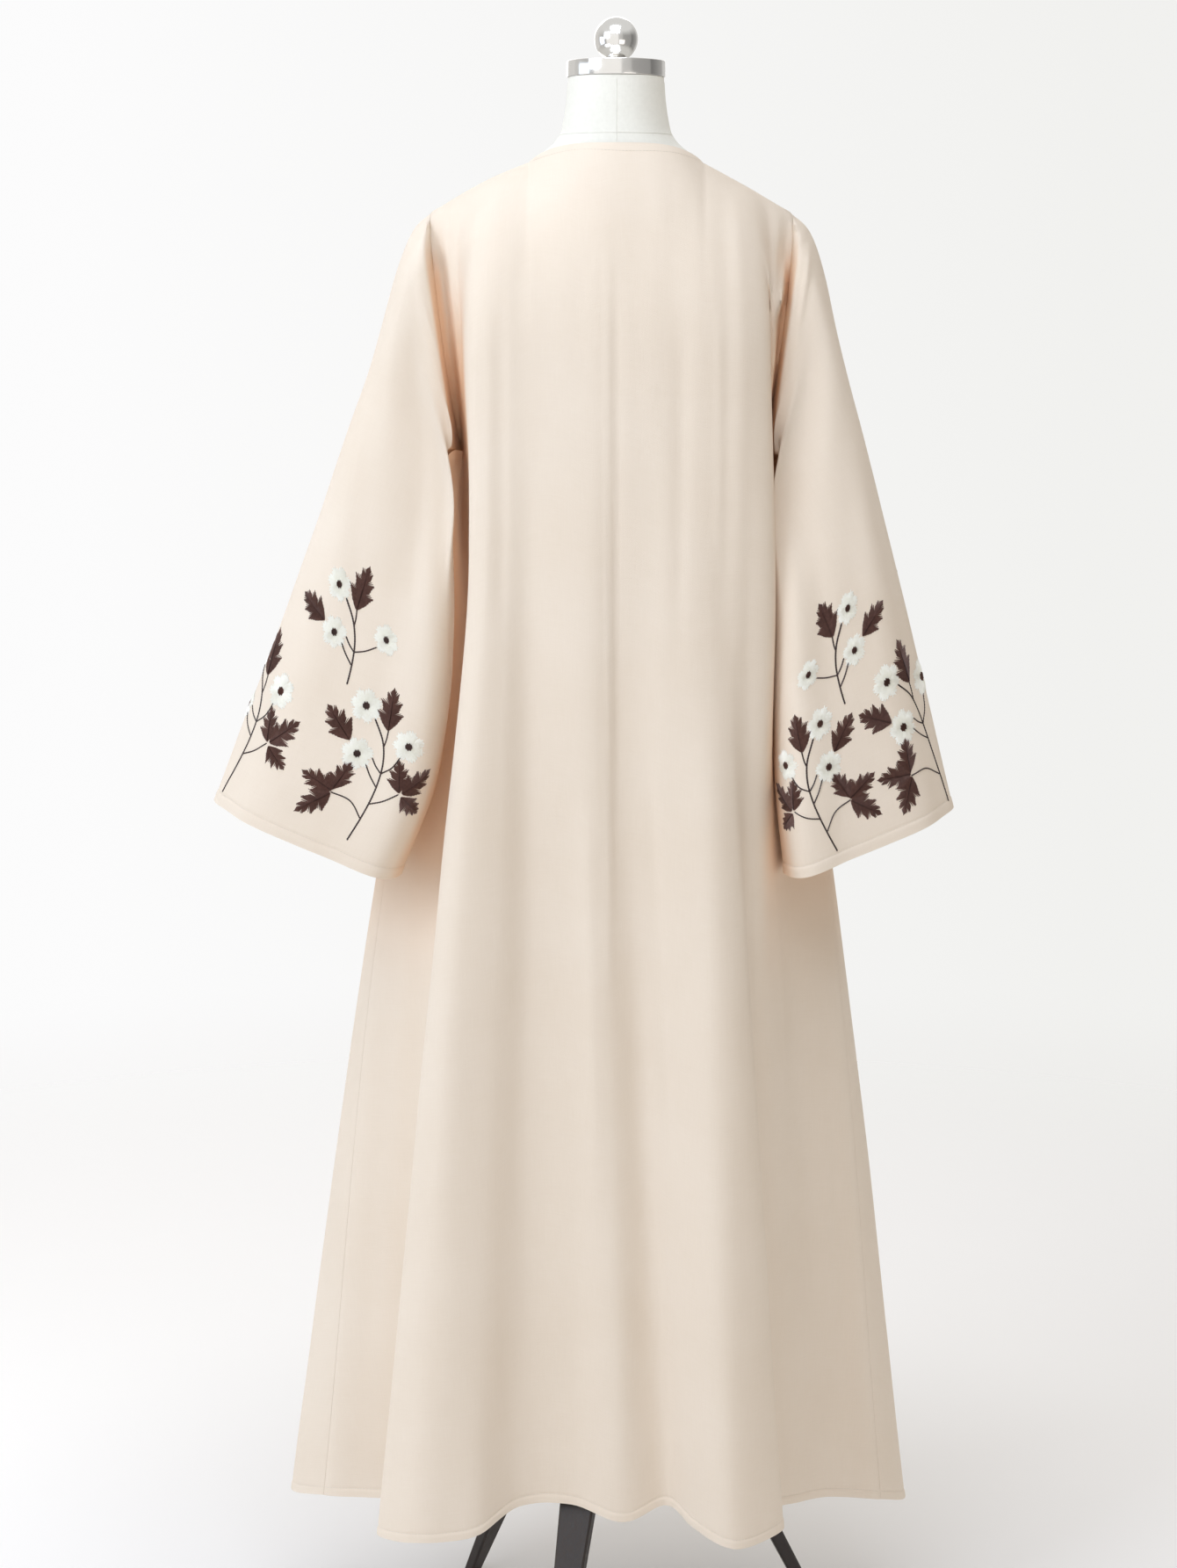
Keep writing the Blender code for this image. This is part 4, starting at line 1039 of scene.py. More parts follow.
def cloth_walls(bases):
    """{name: (outer grid, inner grid)} of the bases with their relief. Panels that meet share one direction
    through the cloth, and each stops half the seam gap short of the seam."""
    grids = {name: relieved(name, points, is_tube(name)) for name, points in bases.items()}
    out = {name: outward(points, is_tube(name)) for name, points in grids.items()}
    body_at, sleeve_at, panels_at = defaultdict(Vector), defaultdict(Vector), defaultdict(set)
    for name, points in bases.items():
        directions_at = sleeve_at if is_tube(name) else body_at
        for row, directions in zip(points, out[name]):
            for point, direction in zip(row, directions):
                directions_at[place_of(point)] += direction
                panels_at[place_of(point)].add(name)
    walls = {}
    for name, points in grids.items():
        closed = is_tube(name)
        outer, inner = [], []
        for r, row in enumerate(points):
            outer_row, inner_row = [], []
            for c, point in enumerate(row):
                place = place_of(bases[name][r][c])
                through = body_at[place].normalized() + sleeve_at[place].normalized()
                shoulder = not closed and on_shoulder(r, bases[name][r][c])
                if shoulder:
                    through.y = 0
                through.normalize()
                depth = CLOTH / max(MITRE_LIMIT, through.dot(out[name][r][c]))
                edge = point.copy()
                if shoulder or len(panels_at[place]) > 1:
                    edge += away_from_edges(points, out[name], r, c, closed) * SEAM_GAP / 2
                outer_row.append(edge)
                inner_row.append(edge - through * depth)
            outer.append(outer_row)
            inner.append(inner_row)
        walls[name] = (outer, inner)
    return walls


# ---------------------------------------------------------------- meshes
def add_mesh(name, verts, faces, material, uvs=None, sharp_deg=50):
    """A mesh object from points in the tables' measure. uvs has one pair for each corner of each face."""
    mesh = bpy.data.meshes.new(name)
    mesh.from_pydata([tuple(Vector(vert) - MIDDLE) for vert in verts], [], faces)
    if uvs is not None:
        layer = mesh.uv_layers.new(name="cloth")
        layer.data.foreach_set("uv", np.array(uvs, np.float32).ravel())
    mesh.materials.append(material)
    mesh.shade_smooth()
    mesh.set_sharp_from_angle(angle=math.radians(sharp_deg))
    obj = linked(name, mesh)
    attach(obj, "root")
    return obj


def across_from(grid, middle):
    """The distance of every point of a grid from its middle column, along its own row."""
    steps = np.linalg.norm(np.diff(grid, axis=1), axis=2)
    across = np.concatenate([np.zeros((len(grid), 1)), np.cumsum(steps, axis=1)], axis=1)
    return across - across[:, [middle]]


def flat_measure(points):
    """The cloth's own measure at every point of a grid: (across from its middle column, up from the edge)."""
    return across_from(as_array(points), len(points[0]) // 2), edge_distances(points)


# Where the painted shade between a sleeve and the back's outer folds comes and goes: at these heights, at
# these turns of a sleeve, this many rows or columns from a seam, and this far behind the rim of the back's
# outer folds, which slants below the waist.
POCKET_LOW_Z = (0.70, 1.02)
POCKET_TOP_Z = (1.34, 1.47)
POCKET_SEAM_TOP_Z = (1.44, 1.49)
POCKET_FOLD_DEG = (152, 176, 230, 280)
POCKET_SEAM_DEG = (30, 70, 230, 280)
POCKET_SEAM_ROWS = (0.5, 2.5)
POCKET_SEAM_COLUMNS = (1, 4)
POCKET_BACK_COLUMNS = (27, 33)
POCKET_FRONT_COLUMNS = (10, 22)
POCKET_RIM_Y = 0.100
POCKET_RIM_SLANT = 0.045
POCKET_RIM_DEPTH = (0.0, 0.034)


def painted_shade_share(name, r, c, last, point):
    """How much painted shade a point gets, 0 to 1: how deep it lies in the recess between a sleeve and the
    back's outer folds, and how near a seam.
    """
    low = eased(point.z, *POCKET_LOW_Z)
    level = low * (1 - eased(point.z, *POCKET_TOP_Z))
    if is_tube(name):
        turn = turn_round(name, c, last)
        beside_seam = (1 - eased(r, *POCKET_SEAM_ROWS)) * window(turn, *POCKET_SEAM_DEG)
        return max(level * window(turn, *POCKET_FOLD_DEG), beside_seam)
    if name == "back":
        apart = min(c, last - c)
        rim = POCKET_RIM_Y + POCKET_RIM_SLANT * max(0.0, WAIST_Z - point.z)
        deep = level * eased(rim - point.y, *POCKET_RIM_DEPTH) * (1 - eased(apart, *POCKET_BACK_COLUMNS))
        near_seam = low * (1 - eased(apart, *POCKET_SEAM_COLUMNS))
        return max(deep, near_seam * (1 - eased(point.z, *POCKET_SEAM_TOP_Z)))
    seam_column = last if name == "front_left" else 0
    return level * (1 - eased(abs(c - seam_column), *POCKET_FRONT_COLUMNS))


def add_cloth(name, outer, inner, material):
    """A thin closed shell between two grids. A sleeve's grids are tubes."""
    closed = is_tube(name)
    rows, columns = len(outer), len(outer[0])
    used = columns - 1 if closed else columns
    across, up = flat_measure(outer)
    verts = [point for grid in (outer, inner) for row in grid for point in row[:used]]
    faces, uvs = [], []

    def face(*corners):
        """A face through corners of (row, column, layer). Layer 0 is the outer grid, and 1 the inner one."""
        faces.append([r * used + c % used + layer * rows * used for r, c, layer in corners])
        uvs.extend((across[r][c], up[r][c]) for r, c, _ in corners)

    low, end = rows - 1, columns - 1
    for r in range(low):
        for c in range(end):
            face((r, c, 0), (r + 1, c, 0), (r + 1, c + 1, 0), (r, c + 1, 0))
            face((r, c, 1), (r, c + 1, 1), (r + 1, c + 1, 1), (r + 1, c, 1))
    for c in range(end):
        face((0, c, 0), (0, c + 1, 0), (0, c + 1, 1), (0, c, 1))
        face((low, c + 1, 0), (low, c, 0), (low, c, 1), (low, c + 1, 1))
    if not closed:
        for r in range(low):
            face((r + 1, 0, 0), (r, 0, 0), (r, 0, 1), (r + 1, 0, 1))
            face((r, end, 0), (r + 1, end, 0), (r + 1, end, 1), (r, end, 1))
    cloth = add_mesh(name + "_cloth", verts, faces, material, uvs)
    # The share of painted shade at every point, kept on the mesh for its material's colour.
    shares = [
        painted_shade_share(name, r, c, end, point)
        for grid in (outer, inner)
        for r, row in enumerate(grid)
        for c, point in enumerate(row[:used])
    ]
    painted_shade = cloth.data.attributes.new("painted_shade", "FLOAT", "POINT")
    painted_shade.data.foreach_set("value", shares)
    return cloth


# A stitch: half its width and its height above the cloth, at its start, middle and end.
Stitch = namedtuple("Stitch", "half_widths heights")


class Threads:
    """Many short threads that lie on cloth, gathered into one mesh."""

    def __init__(self):
        self.verts, self.faces = [], []

    def add(self, points, ups, stitch):
        """One thread along the points, ridged in the middle and sunk at its sides."""
        first = len(self.verts)
        last = len(points) - 1
        for index, (point, up) in enumerate(zip(points, ups)):
            before, after = beside(index, last)
            side = (points[after] - points[before]).cross(up).normalized() * stitch.half_widths[index]
            self.verts += [point - side, point + up * stitch.heights[index], point + side]
        for low in range(first, first + 3 * last, 3):
            self.faces += [(a, a + 1, a + 4, a + 3) for a in (low, low + 1)]

    def made(self, name, material):
        return add_mesh(name, self.verts, self.faces, material, sharp_deg=80)


STITCH_LENGTH = 0.0026
STITCH_SPACING = 0.0034
STITCH_START = 0.001
STITCH_CLEARANCE = 0.0001
SEAM_STITCH = Stitch((0.00018, 0.00026, 0.00018), (0.0001, 0.0004, 0.0001))


def stitch_line(threads, points, ups):
    """A line of machine stitches along points on the cloth."""
    path, normals = np.array([points, ups])
    run = run_along(path)
    start = STITCH_START
    while start + STITCH_LENGTH < run[-1]:
        places, lifts = [], []
        for share in (0, 0.5, 1):
            here = start + STITCH_LENGTH * share
            lifts.append(Vector(point_along(normals, run, here)).normalized())
            places.append(Vector(point_along(path, run, here)) + lifts[-1] * STITCH_CLEARANCE)
        threads.add(places, lifts, SEAM_STITCH)
        start += STITCH_SPACING


def line_below_top(points, distance):
    """The points of a grid that are this far below its upper edge."""
    line = []
    for column in zip(*points):
        path = np.array(column)
        line.append(Vector(point_along(path, run_along(path), distance)))
    return line


# ---------------------------------------------------------------- embroidery
class FlatSleeve:
    """The outer face of a sleeve as cloth laid flat. Its measure is metres across from the middle of the
    sleeve's back towards its outer side, and up from the cuff's edge."""

    def __init__(self, rows, normals):
        count = len(rows[0]) - 1
        reach = count * 3 // 4
        middle = ARMHOLE_ROWS // 2
        order = [(middle + step) % count for step in range(-reach, reach + 1)]
        self.points = as_array(rows)[:, order]
        self.normals = as_array(normals)[:, order]
        self.inward = across_from(self.points, reach)
        self.up = run_along(self.points[::-1, reach])

    def at(self, across, up):
        """(point, direction out) on the cloth."""
        level = len(self.up) - 1 - float(np.interp(up, self.up, range(len(self.up))))
        first = min(int(level), len(self.up) - 2)
        found = []
        for row in (first, first + 1):
            column = float(np.interp(-across, self.inward[row], range(len(self.inward[row]))))
            c = min(int(column), len(self.inward[row]) - 2)
            for grid in (self.points, self.normals):
                found.append(mix(grid[row][c], grid[row][c + 1], column - c))
        point = mix(found[0], found[2], level - first)
        normal = mix(found[1], found[3], level - first)
        return Vector(point), Vector(normal).normalized()


# One sprig, in millimetres from the foot of its stem: to the right, and up.
STEM = [(0, 0), (12, 26), (26, 60), (33, 84), (34, 104), (28, 126)]
TWIGS = [
    [(34, 98), (38, 106), (41, 115)],
    [(30, 72), (42, 78), (51, 88)],
    [(25, 58), (19, 70), (15, 82)],
    [(30, 72), (25, 80), (22, 88)],
]
Leaf = namedtuple("Leaf", "base_x base_y tip_x tip_y")
Head = namedtuple("Head", "twigs flowers leaves")
LOW_HEAD = Head(TWIGS, [(61, 99), (20, 139), (7, 93)], [Leaf(41, 115, 53, 156), Leaf(0, 107, -20, 142)])
HIGH_HEAD = Head(
    [TWIGS[0], [(30, 72), (45, 73), (61, 77)], *TWIGS[2:]],
    [(76, 85), (20, 139), (7, 93)],
    [Leaf(41, 115, 67, 158), Leaf(-5, 105, -36, 133)],
)
LEAF_BREADTH = 1.00
TREFOIL_BREADTH = 1.04
# One side of a leaf's edge, in shares of its length: how far along and how far out. Three teeth point ahead.
LEAF_EDGE = [
    (0.00, 0.020),
    (0.06, 0.085),
    (0.17, 0.190),
    (0.30, 0.265),
    (0.42, 0.350),
    (0.46, 0.205),
    (0.57, 0.230),
    (0.68, 0.285),
    (0.72, 0.140),
    (0.80, 0.145),
    (0.87, 0.155),
    (0.90, 0.070),
    (1.00, 0.000),
]
TREFOIL_TWIGS = [[(11, 24), (0, 44), (-18, 54)], [(18, 40), (32, 43), (47, 50)]]
TREFOILS = [
    [Leaf(-18, 56, -47, 79), Leaf(-17, 57, 2, 86), Leaf(-19, 53, -52, 34)],
    [Leaf(48, 52, 50, 86), Leaf(51, 51, 84, 70), Leaf(50, 47, 68, 22)],
]
# Each sprig's place on its sleeve, how far it leans, whether it is mirrored (-1), its size, how many
# millimetres of its stem's foot are left out, and which trefoils it has. The last two of each sleeve are on
# its front.
Sprig = namedtuple("Sprig", "sleeve across up lean_deg flip size cut trefoils")
SPRIGS = [
    Sprig("left", 0.028, 0.132, -28, 1, 0.84, 42, ()),
    Sprig("left", -0.043, 0.026, -28, 1, 1.0, 0, (0, 1)),
    Sprig("left", 0.100, 0.014, -28, 1, 1.0, 0, (1,)),
    Sprig("left", 0.224, 0.136, -28, -1, 0.84, 42, ()),
    Sprig("left", 0.268, 0.024, -28, -1, 1.0, 0, (0, 1)),
    Sprig("right", 0.011, 0.1125, -17, 1, 0.83, 42, ()),
    Sprig("right", -0.045, 0.014, -17, 1, 0.94, 0, (0, 1)),
    Sprig("right", 0.090, 0.010, -23, -1, 0.98, 0, (0,)),
    Sprig("right", 0.178, 0.116, -17, -1, 0.83, 42, ()),
    Sprig("right", 0.242, 0.018, -17, -1, 0.94, 0, (0, 1)),
]


def smooth_path(points, steps):
    stations = [np.array(point, float) for point in points]
    return curve_through(stations, steps, np.diff(run_along(stations)))


# A stem's stitches, in millimetres: how long, and how far their ends lie to the side. Each starts STEM_STEP
# of a stitch's length after the last, and its ends are STEM_TAPER of its middle's width.
STEM_STITCH = 3.2
STEM_SLANT = 0.22
STEM_STEP = 0.8
STEM_TAPER = 0.6
STEM_HALF_WIDTH = 0.00098
TWIG_HALF_WIDTH = 0.00080
STEM_HEIGHTS = (0.0003, 0.0009, 0.0003)
# A leaf's stitches, this many millimetres apart. Each starts back along the vein by a share of the leaf's
# length, more towards the tip, and crosses the vein a little.
LEAF_SPACING = 0.72
LEAF_SLANT = 0.07
LEAF_SLANT_GROWTH = 0.12
LEAF_OVERLAP = 0.1
LEAF_STITCH = Stitch((0.00046, 0.00052, 0.00034), (0.0005, 0.0009, 0.0002))
VEIN_SHARES = (0.0, 0.4, 0.82)
VEIN = Stitch((0.00030, 0.00026, 0.00010), (0.0014, 0.0013, 0.0008))
# A flower's stitches, in millimetres from its middle. Every third stands higher.
PETALS = 7
PETAL_STITCHES = 110
PETAL_START = 2.2
PETAL_END = 16.5
PETAL_LOW = Stitch((0.00012, 0.00042, 0.00044), (0.0003, 0.0007, 0.0002))
PETAL_HIGH = Stitch((0.00012, 0.00042, 0.00044), (0.0003, 0.0012, 0.0002))
HEART_STITCHES = 13
HEART_SPACING = 0.55
HEART_RADIUS = 4.1
HEART_HALF_WIDTH = 3.9
HEART_STITCH = Stitch((0.00030, 0.00040, 0.00030), (0.0012, 0.0015, 0.0012))
THREAD_CLEARANCE = 0.00012


class Needle:
    """Stitches one sprig on a sleeve."""

    def __init__(self, cloth, sprig, dark, brown, cream):
        self.cloth, self.sprig = cloth, sprig
        self.dark, self.brown, self.cream = dark, brown, cream

    def place(self, x, y):
        """The point and the direction out of the cloth at millimetres (x, y) of the sprig."""
        sprig = self.sprig
        lean = math.radians(sprig.lean_deg)
        metres = 0.001 * sprig.size
        right = (x * math.cos(lean) + y * math.sin(lean)) * metres * sprig.flip
        up = (y * math.cos(lean) - x * math.sin(lean)) * metres
        return self.cloth.at(sprig.across - right, sprig.up + up)

    def thread(self, threads, path, stitch):
        places = [self.place(*point) for point in path]
        points = [point + up * THREAD_CLEARANCE for point, up in places]
        threads.add(points, [up for _, up in places], stitch)

    def stem(self, path, half_width, first=0.0):
        """A rope of short slanting stitches. It starts first millimetres along its path."""
        fine = np.array(smooth_path(path, 12))
        run = run_along(fine)
        slim = half_width * STEM_TAPER
        start = first
        while start < run[-1]:
            points = []
            for share, sway in ((0, -STEM_SLANT), (0.5, 0.0), (1, STEM_SLANT)):
                here = min(run[-1], start + STEM_STITCH * share)
                back, place, ahead = (
                    np.array(point_along(fine, run, here + step)) for step in (-0.5, 0.0, 0.5)
                )
                along = (ahead - back) / max(1e-6, np.linalg.norm(ahead - back))
                points.append(place + np.array((-along[1], along[0])) * sway)
            self.thread(self.dark, points, Stitch((slim, half_width, slim), STEM_HEIGHTS))
            start += STEM_STITCH * STEM_STEP

    def leaf(self, leaf, seed, breadth):
        """A toothed leaf of slanting satin stitches on both sides of its vein."""
        base, tip = np.array(leaf[:2], float), np.array(leaf[2:], float)
        length = float(np.linalg.norm(tip - base))
        along = (tip - base) / length
        side = np.array((-along[1], along[0]))
        count = int(length / LEAF_SPACING)
        for hand in (-1, 1):
            for index in range(count):
                share = (index + 0.5) / count
                reach = self.leaf_half_width(share, hand, seed) * length * breadth
                slant = LEAF_SLANT + LEAF_SLANT_GROWTH * share
                root = base + along * length * max(0.0, share - slant)
                end = base + along * length * share + side * hand * reach
                start = root - side * hand * LEAF_OVERLAP
                self.thread(self.brown, (start, (root + end) / 2, end), LEAF_STITCH)
        self.thread(self.dark, [base + along * length * share for share in VEIN_SHARES], VEIN)

    def leaf_half_width(self, share, hand, seed):
        """Half the leaf's width as a share of its length. No two leaves have quite the same teeth."""
        moved = share + 0.022 * hand * math.cos(seed * 2.1) + 0.018 * math.sin(seed * 3.7)
        body = float(np.interp(moved, *zip(*LEAF_EDGE))) * min(1.0, (1 - share) / 0.06)
        ragged = 0.035 * math.sin(share * 97 + seed * 5 + hand)
        return body * (1 + 0.07 * math.sin(seed * 2 + hand) + ragged)

    def flower(self, x, y, seed):
        """Rounded petals of satin stitches round a small brown heart."""
        for index, turn in enumerate(round_turns(PETAL_STITCHES)):
            uneven = 0.7 * math.sin(turn * 2 + seed)
            wave = abs(math.sin((turn * PETALS + seed + uneven) / 2)) ** 0.6
            ragged = 0.07 * math.sin(turn * 31 + seed * 3) + 0.05 * math.sin(turn * 53 + seed)
            reach = PETAL_END * (0.70 + 0.28 * wave + ragged * 0.8)
            aim = np.array((math.cos(turn), math.sin(turn)))
            path = [np.array((x, y)) + aim * distance for distance in (PETAL_START, reach * 0.6, reach)]
            self.thread(self.cream, path, PETAL_LOW if index % 3 else PETAL_HIGH)
        for index in range(HEART_STITCHES):
            offset = (index - HEART_STITCHES // 2) * HEART_SPACING
            chord = HEART_RADIUS * math.sqrt(max(0.05, 1 - (offset / HEART_HALF_WIDTH) ** 2))
            chord *= 0.88 + 0.18 * math.sin(index * 5)
            path = [np.array((x + offset, y + rise)) for rise in (-chord, 0.0, chord)]
            self.thread(self.brown, path, HEART_STITCH)

    def work(self):
        sprig = self.sprig
        head = HIGH_HEAD if sprig.cut else LOW_HEAD
        self.stem(STEM, STEM_HALF_WIDTH, sprig.cut)
        for path in head.twigs:
            self.stem(path, TWIG_HALF_WIDTH)
        for index, (x, y) in enumerate(head.flowers):
            self.flower(x, y, index + 1)
        for index, leaf in enumerate(head.leaves):
            self.leaf(leaf, index, LEAF_BREADTH)
        for number in sprig.trefoils:
            self.stem(TREFOIL_TWIGS[number], TWIG_HALF_WIDTH)
            for index, leaf in enumerate(TREFOILS[number]):
                self.leaf(leaf, index + 2 + number, TREFOIL_BREADTH)


# ---------------------------------------------------------------- dress form
FORM_SIDES = 112
FORM_STEPS = 5
SEAM_WIDTH = 0.0008
SEAM_ASIDE = Vector((0.3, 0.9, 0.2))  # a direction that no seam runs along
WHOLE_SEAMS = (0, 0.25, 0.5, 0.75)  # shares of the way round
SHOULDER_SEAMS = (0.14, 0.36, 0.64, 0.86)
SHOULDER_SEAM_TOP_Z = 1.535


def form_ring(section_values):
    z, half_width, front_reach, back_reach = section_values
    power = 2 / FORM_ROUNDNESS
    ring = []
    for turn in round_turns(FORM_SIDES):
        cosine, sine = math.cos(turn), math.sin(turn)
        reach = back_reach if sine > 0 else front_reach
        x = half_width * math.copysign(abs(cosine) ** power, cosine)
        y = reach * math.copysign(abs(sine) ** power, sine)
        ring.append(Vector((x, y, z)))
    return ring


def form_rings():
    stations = [np.array(section[1:], float) for section in FORM_SECTIONS]
    spans = np.diff([section.z for section in FORM_SECTIONS])
    return [form_ring(values) for values in curve_through(stations, FORM_STEPS, spans)]


def closed_tube(rings):
    """Verts and faces of a tube through rings that go up, closed by a face at each end."""
    sides = len(rings[0])
    verts = [point for ring in rings for point in ring]
    faces = [tuple(reversed(range(sides)))]
    for level in range(len(rings) - 1):
        for index in range(sides):
            after = (index + 1) % sides
            low, high = level * sides, (level + 1) * sides
            faces.append((low + index, low + after, high + after, high + index))
    top = (len(rings) - 1) * sides
    faces.append(tuple(top + index for index in range(sides)))
    return verts, faces


def add_form(material):
    rings = form_rings()
    verts, faces = closed_tube(rings)
    return add_mesh("form_cover", verts, faces, material, sharp_deg=60), rings


def seam_tube(path, radius, sides=6):
    """A thin ridge along a path."""
    rings = []
    for index, point in enumerate(path):
        before, after = beside(index, len(path) - 1)
        along = (path[after] - path[before]).normalized()
        across = along.cross(SEAM_ASIDE).normalized()
        over = along.cross(across)
        ring = []
        for turn in round_turns(sides):
            ring.append(point + (across * math.cos(turn) + over * math.sin(turn)) * radius)
        rings.append(ring)
    return closed_tube(rings)


def add_form_seams(rings, material):
    """The cover's seams: down the middle of the back and front, down the sides, over the shoulders and
    round the foot of the neck."""
    verts, faces = [], []

    def add(path):
        new_verts, new_faces = seam_tube(path, SEAM_WIDTH / 2)
        first = len(verts)
        verts.extend(new_verts)
        faces.extend([tuple(first + index for index in face) for face in new_faces])

    for shares, above in ((WHOLE_SEAMS, NECK_TOP_Z), (SHOULDER_SEAMS, SHOULDER_SEAM_TOP_Z)):
        for share in shares:
            index = round(FORM_SIDES * share)
            add([ring[index] for ring in rings if ring[index].z <= above])
    nearest = min(rings, key=lambda ring: abs(ring[0].z - NECK_SEAM_Z))
    add([*nearest, nearest[0]])
    return add_mesh("form_seams", verts, faces, material)


# ---------------------------------------------------------------- neck cap and knob
def circle(radius, z, sides):
    return [Vector((radius * math.cos(turn), radius * math.sin(turn), z)) for turn in round_turns(sides)]


def turned(name, profile, sides, material):
    """A solid of revolution from its outline of (radius, z), bottom to top, with both ends on the axis."""
    verts, faces = closed_tube([circle(radius, z, sides) for radius, z in profile[1:-1]])
    low_face, high_face = faces[0], faces[-1]
    faces = faces[1:-1]
    for corners, (_, z) in ((low_face, profile[0]), (high_face, profile[-1])):
        centre = len(verts)
        verts.append(Vector((0, 0, z)))
        for a, b in zip(corners, corners[1:] + corners[:1]):
            faces.append((a, b, centre))
    return add_mesh(name, verts, faces, material, sharp_deg=35)


CAP_EDGE = 0.0009  # the radius of its rounded edges
CAP_EDGE_STEPS = 4
CAP_INNER_RADIUS = 0.02
CAP_SIDES = 128
BALL_SIDES = 96
BALL_STEPS = 40


def add_cap(material):
    low = NECK_TOP_Z + MATING_GAP
    high = low + CAP_HEIGHT
    edge = []
    for step in range(CAP_EDGE_STEPS + 1):
        turn = math.pi / 2 * step / CAP_EDGE_STEPS
        edge.append((CAP_RADIUS - CAP_EDGE * (1 - math.sin(turn)), CAP_EDGE * (1 - math.cos(turn))))
    lower = [(radius, low + rise) for radius, rise in edge]
    upper = [(radius, high - rise) for radius, rise in reversed(edge)]
    profile = [(0, low), (CAP_INNER_RADIUS, low), *lower, *upper, (CAP_INNER_RADIUS, high), (0, high)]
    return turned("neck_cap_polished", profile, CAP_SIDES, material), high


def add_knob(seat_z, material):
    low = seat_z + MATING_GAP
    sunk = math.asin(COLLAR_RADIUS / BALL_RADIUS)
    centre = low + COLLAR_HEIGHT + BALL_RADIUS * math.cos(sunk)
    profile = [(0, low), (COLLAR_RADIUS, low)]
    for step in range(BALL_STEPS + 1):
        angle = sunk + (math.pi - sunk) * step / BALL_STEPS
        profile.append((BALL_RADIUS * math.sin(angle), centre - BALL_RADIUS * math.cos(angle)))
    return turned("knob_polished", profile, BALL_SIDES, material)


# ---------------------------------------------------------------- studio
FLOOR_RADIUS = 3.2
FLOOR_SIDES = 64


def add_floor(paper):
    """A pale round floor."""
    verts = [Vector(), *circle(FLOOR_RADIUS, 0.0, FLOOR_SIDES)]
    faces = [(0, 1 + index, 1 + (index + 1) % FLOOR_SIDES) for index in range(FLOOR_SIDES)]
    mesh = bpy.data.meshes.new("floor")
    mesh.from_pydata(verts, [], faces)
    mesh.materials.append(paper)
    linked("floor", mesh)


Lamp = namedtuple("Lamp", "name x y z aim_z size energy colour")
LAMPS = [
    Lamp("key", 2.5, 2.0, 2.5, 0.95, 1.6, 52, (0.91, 1.0, 1.14)),
    Lamp("fill", -1.7, 2.6, 0.5, 0.2, 1.6, 10, (1.0, 0.95, 0.90)),
    Lamp("top", 0.1, 1.2, 3.0, 1.2, 1.4, 23, (0.92, 1.0, 1.13)),
    Lamp("side", 3.0, 0.5, 1.3, 0.9, 1.6, 9, (0.84, 1.0, 1.24)),
    Lamp("front", 0.4, -2.4, 2.4, 0.9, 2.0, 16, (1.0, 0.99, 0.98)),
]
# The room's light on cloth is warm and dim on the back, and brighter on the front. To the eye the room is
# pale, and a little paler on the wearer's left.
AIR_ON_FRONT = (0.780, 0.760, 0.730, 1.0)
AIR_ON_BACK = (0.340, 0.318, 0.292, 1.0)
AIR_TURN = (-0.35, 0.15)  # it turns from one to the other between these directions, from -Y to +Y
AIR_PALE = [(0.880, 0.878, 0.860, 1.0), (0.972, 0.970, 0.972, 1.0)]
AIR_PALE_ENDS = (-0.18, 0.18)
# Polished steel mirrors the room's walls, windows and ceiling: how far round, anticlockwise from -X, and how
# light it is there.
ROOM_WALLS = [
    (0.000, 0.18),
    (0.125, 0.40),
    (0.135, 0.60),
    (0.430, 0.72),
    (0.440, 0.64),
    (0.595, 0.44),
    (0.605, 0.95),
    (0.780, 1.00),
    (0.790, 0.62),
    (0.845, 0.56),
    (0.855, 0.38),
    (0.990, 0.33),
    (1.000, 0.18),
]
WALL_TINT = (1.0, 0.985, 0.96)
CEILING = (0.74, 0.74, 0.74 * 0.985, 1.0)
CEILING_RISE = (0.25, 0.60)  # the walls turn into the ceiling between these heights of a direction


def add_lights():
    for lamp in LAMPS:
        data = bpy.data.lights.new(lamp.name, "AREA")
        data.shape = "SQUARE"
        data.size = lamp.size
        data.energy = lamp.energy
        data.color = lamp.colour
        light = linked(lamp.name, data)
        light.location = (lamp.x, lamp.y, lamp.z)
        aim = Vector((0, 0, lamp.aim_z)) - light.location
        light.rotation_euler = aim.to_track_quat("-Z", "Y").to_euler()
    bpy.context.scene.view_settings.view_transform = "Standard"


def add_air():
    """The room's own light, and how the room looks to the eye and in steel."""
    world = bpy.data.worlds.new("studio_air")
    world.use_nodes = True
    nodes = Nodes(world.node_tree)
    toward = nodes.node("TexCoord")["Generated"]
    facing = nodes.node("SeparateXYZ", None, Vector=toward)
    ray = nodes.node("LightPath")
    walls = nodes.tree.nodes.new("ShaderNodeValToRGB")
    bearing = nodes.node("TexGradient", {"gradient_type": "RADIAL"}, Vector=toward)["Fac"]
    nodes.feed(walls.inputs["Fac"], bearing)
    steps = walls.color_ramp.elements
    while len(steps) < len(ROOM_WALLS):
        steps.new(0.5)
    for step, (place, _) in zip(steps, ROOM_WALLS):
        step.position = place
    for step, (_, light) in zip(steps, ROOM_WALLS):
        step.color = (*[light * part for part in WALL_TINT], 1.0)
    mirrored = nodes.blend(nodes.between(facing["Z"], *CEILING_RISE), walls.outputs["Color"], CEILING)
    on_cloth = nodes.blend(nodes.between(facing["Y"], *AIR_TURN), AIR_ON_FRONT, AIR_ON_BACK)
    pale = nodes.blend(nodes.between(facing["X"], *AIR_PALE_ENDS), *AIR_PALE)
    on_steel = nodes.blend(ray["Is Glossy Ray"], on_cloth, mirrored)
    colour = nodes.blend(ray["Is Camera Ray"], on_steel, pale)
    nodes.feed(nodes.tree.nodes["Background"].inputs["Color"], colour)
    bpy.context.scene.world = world


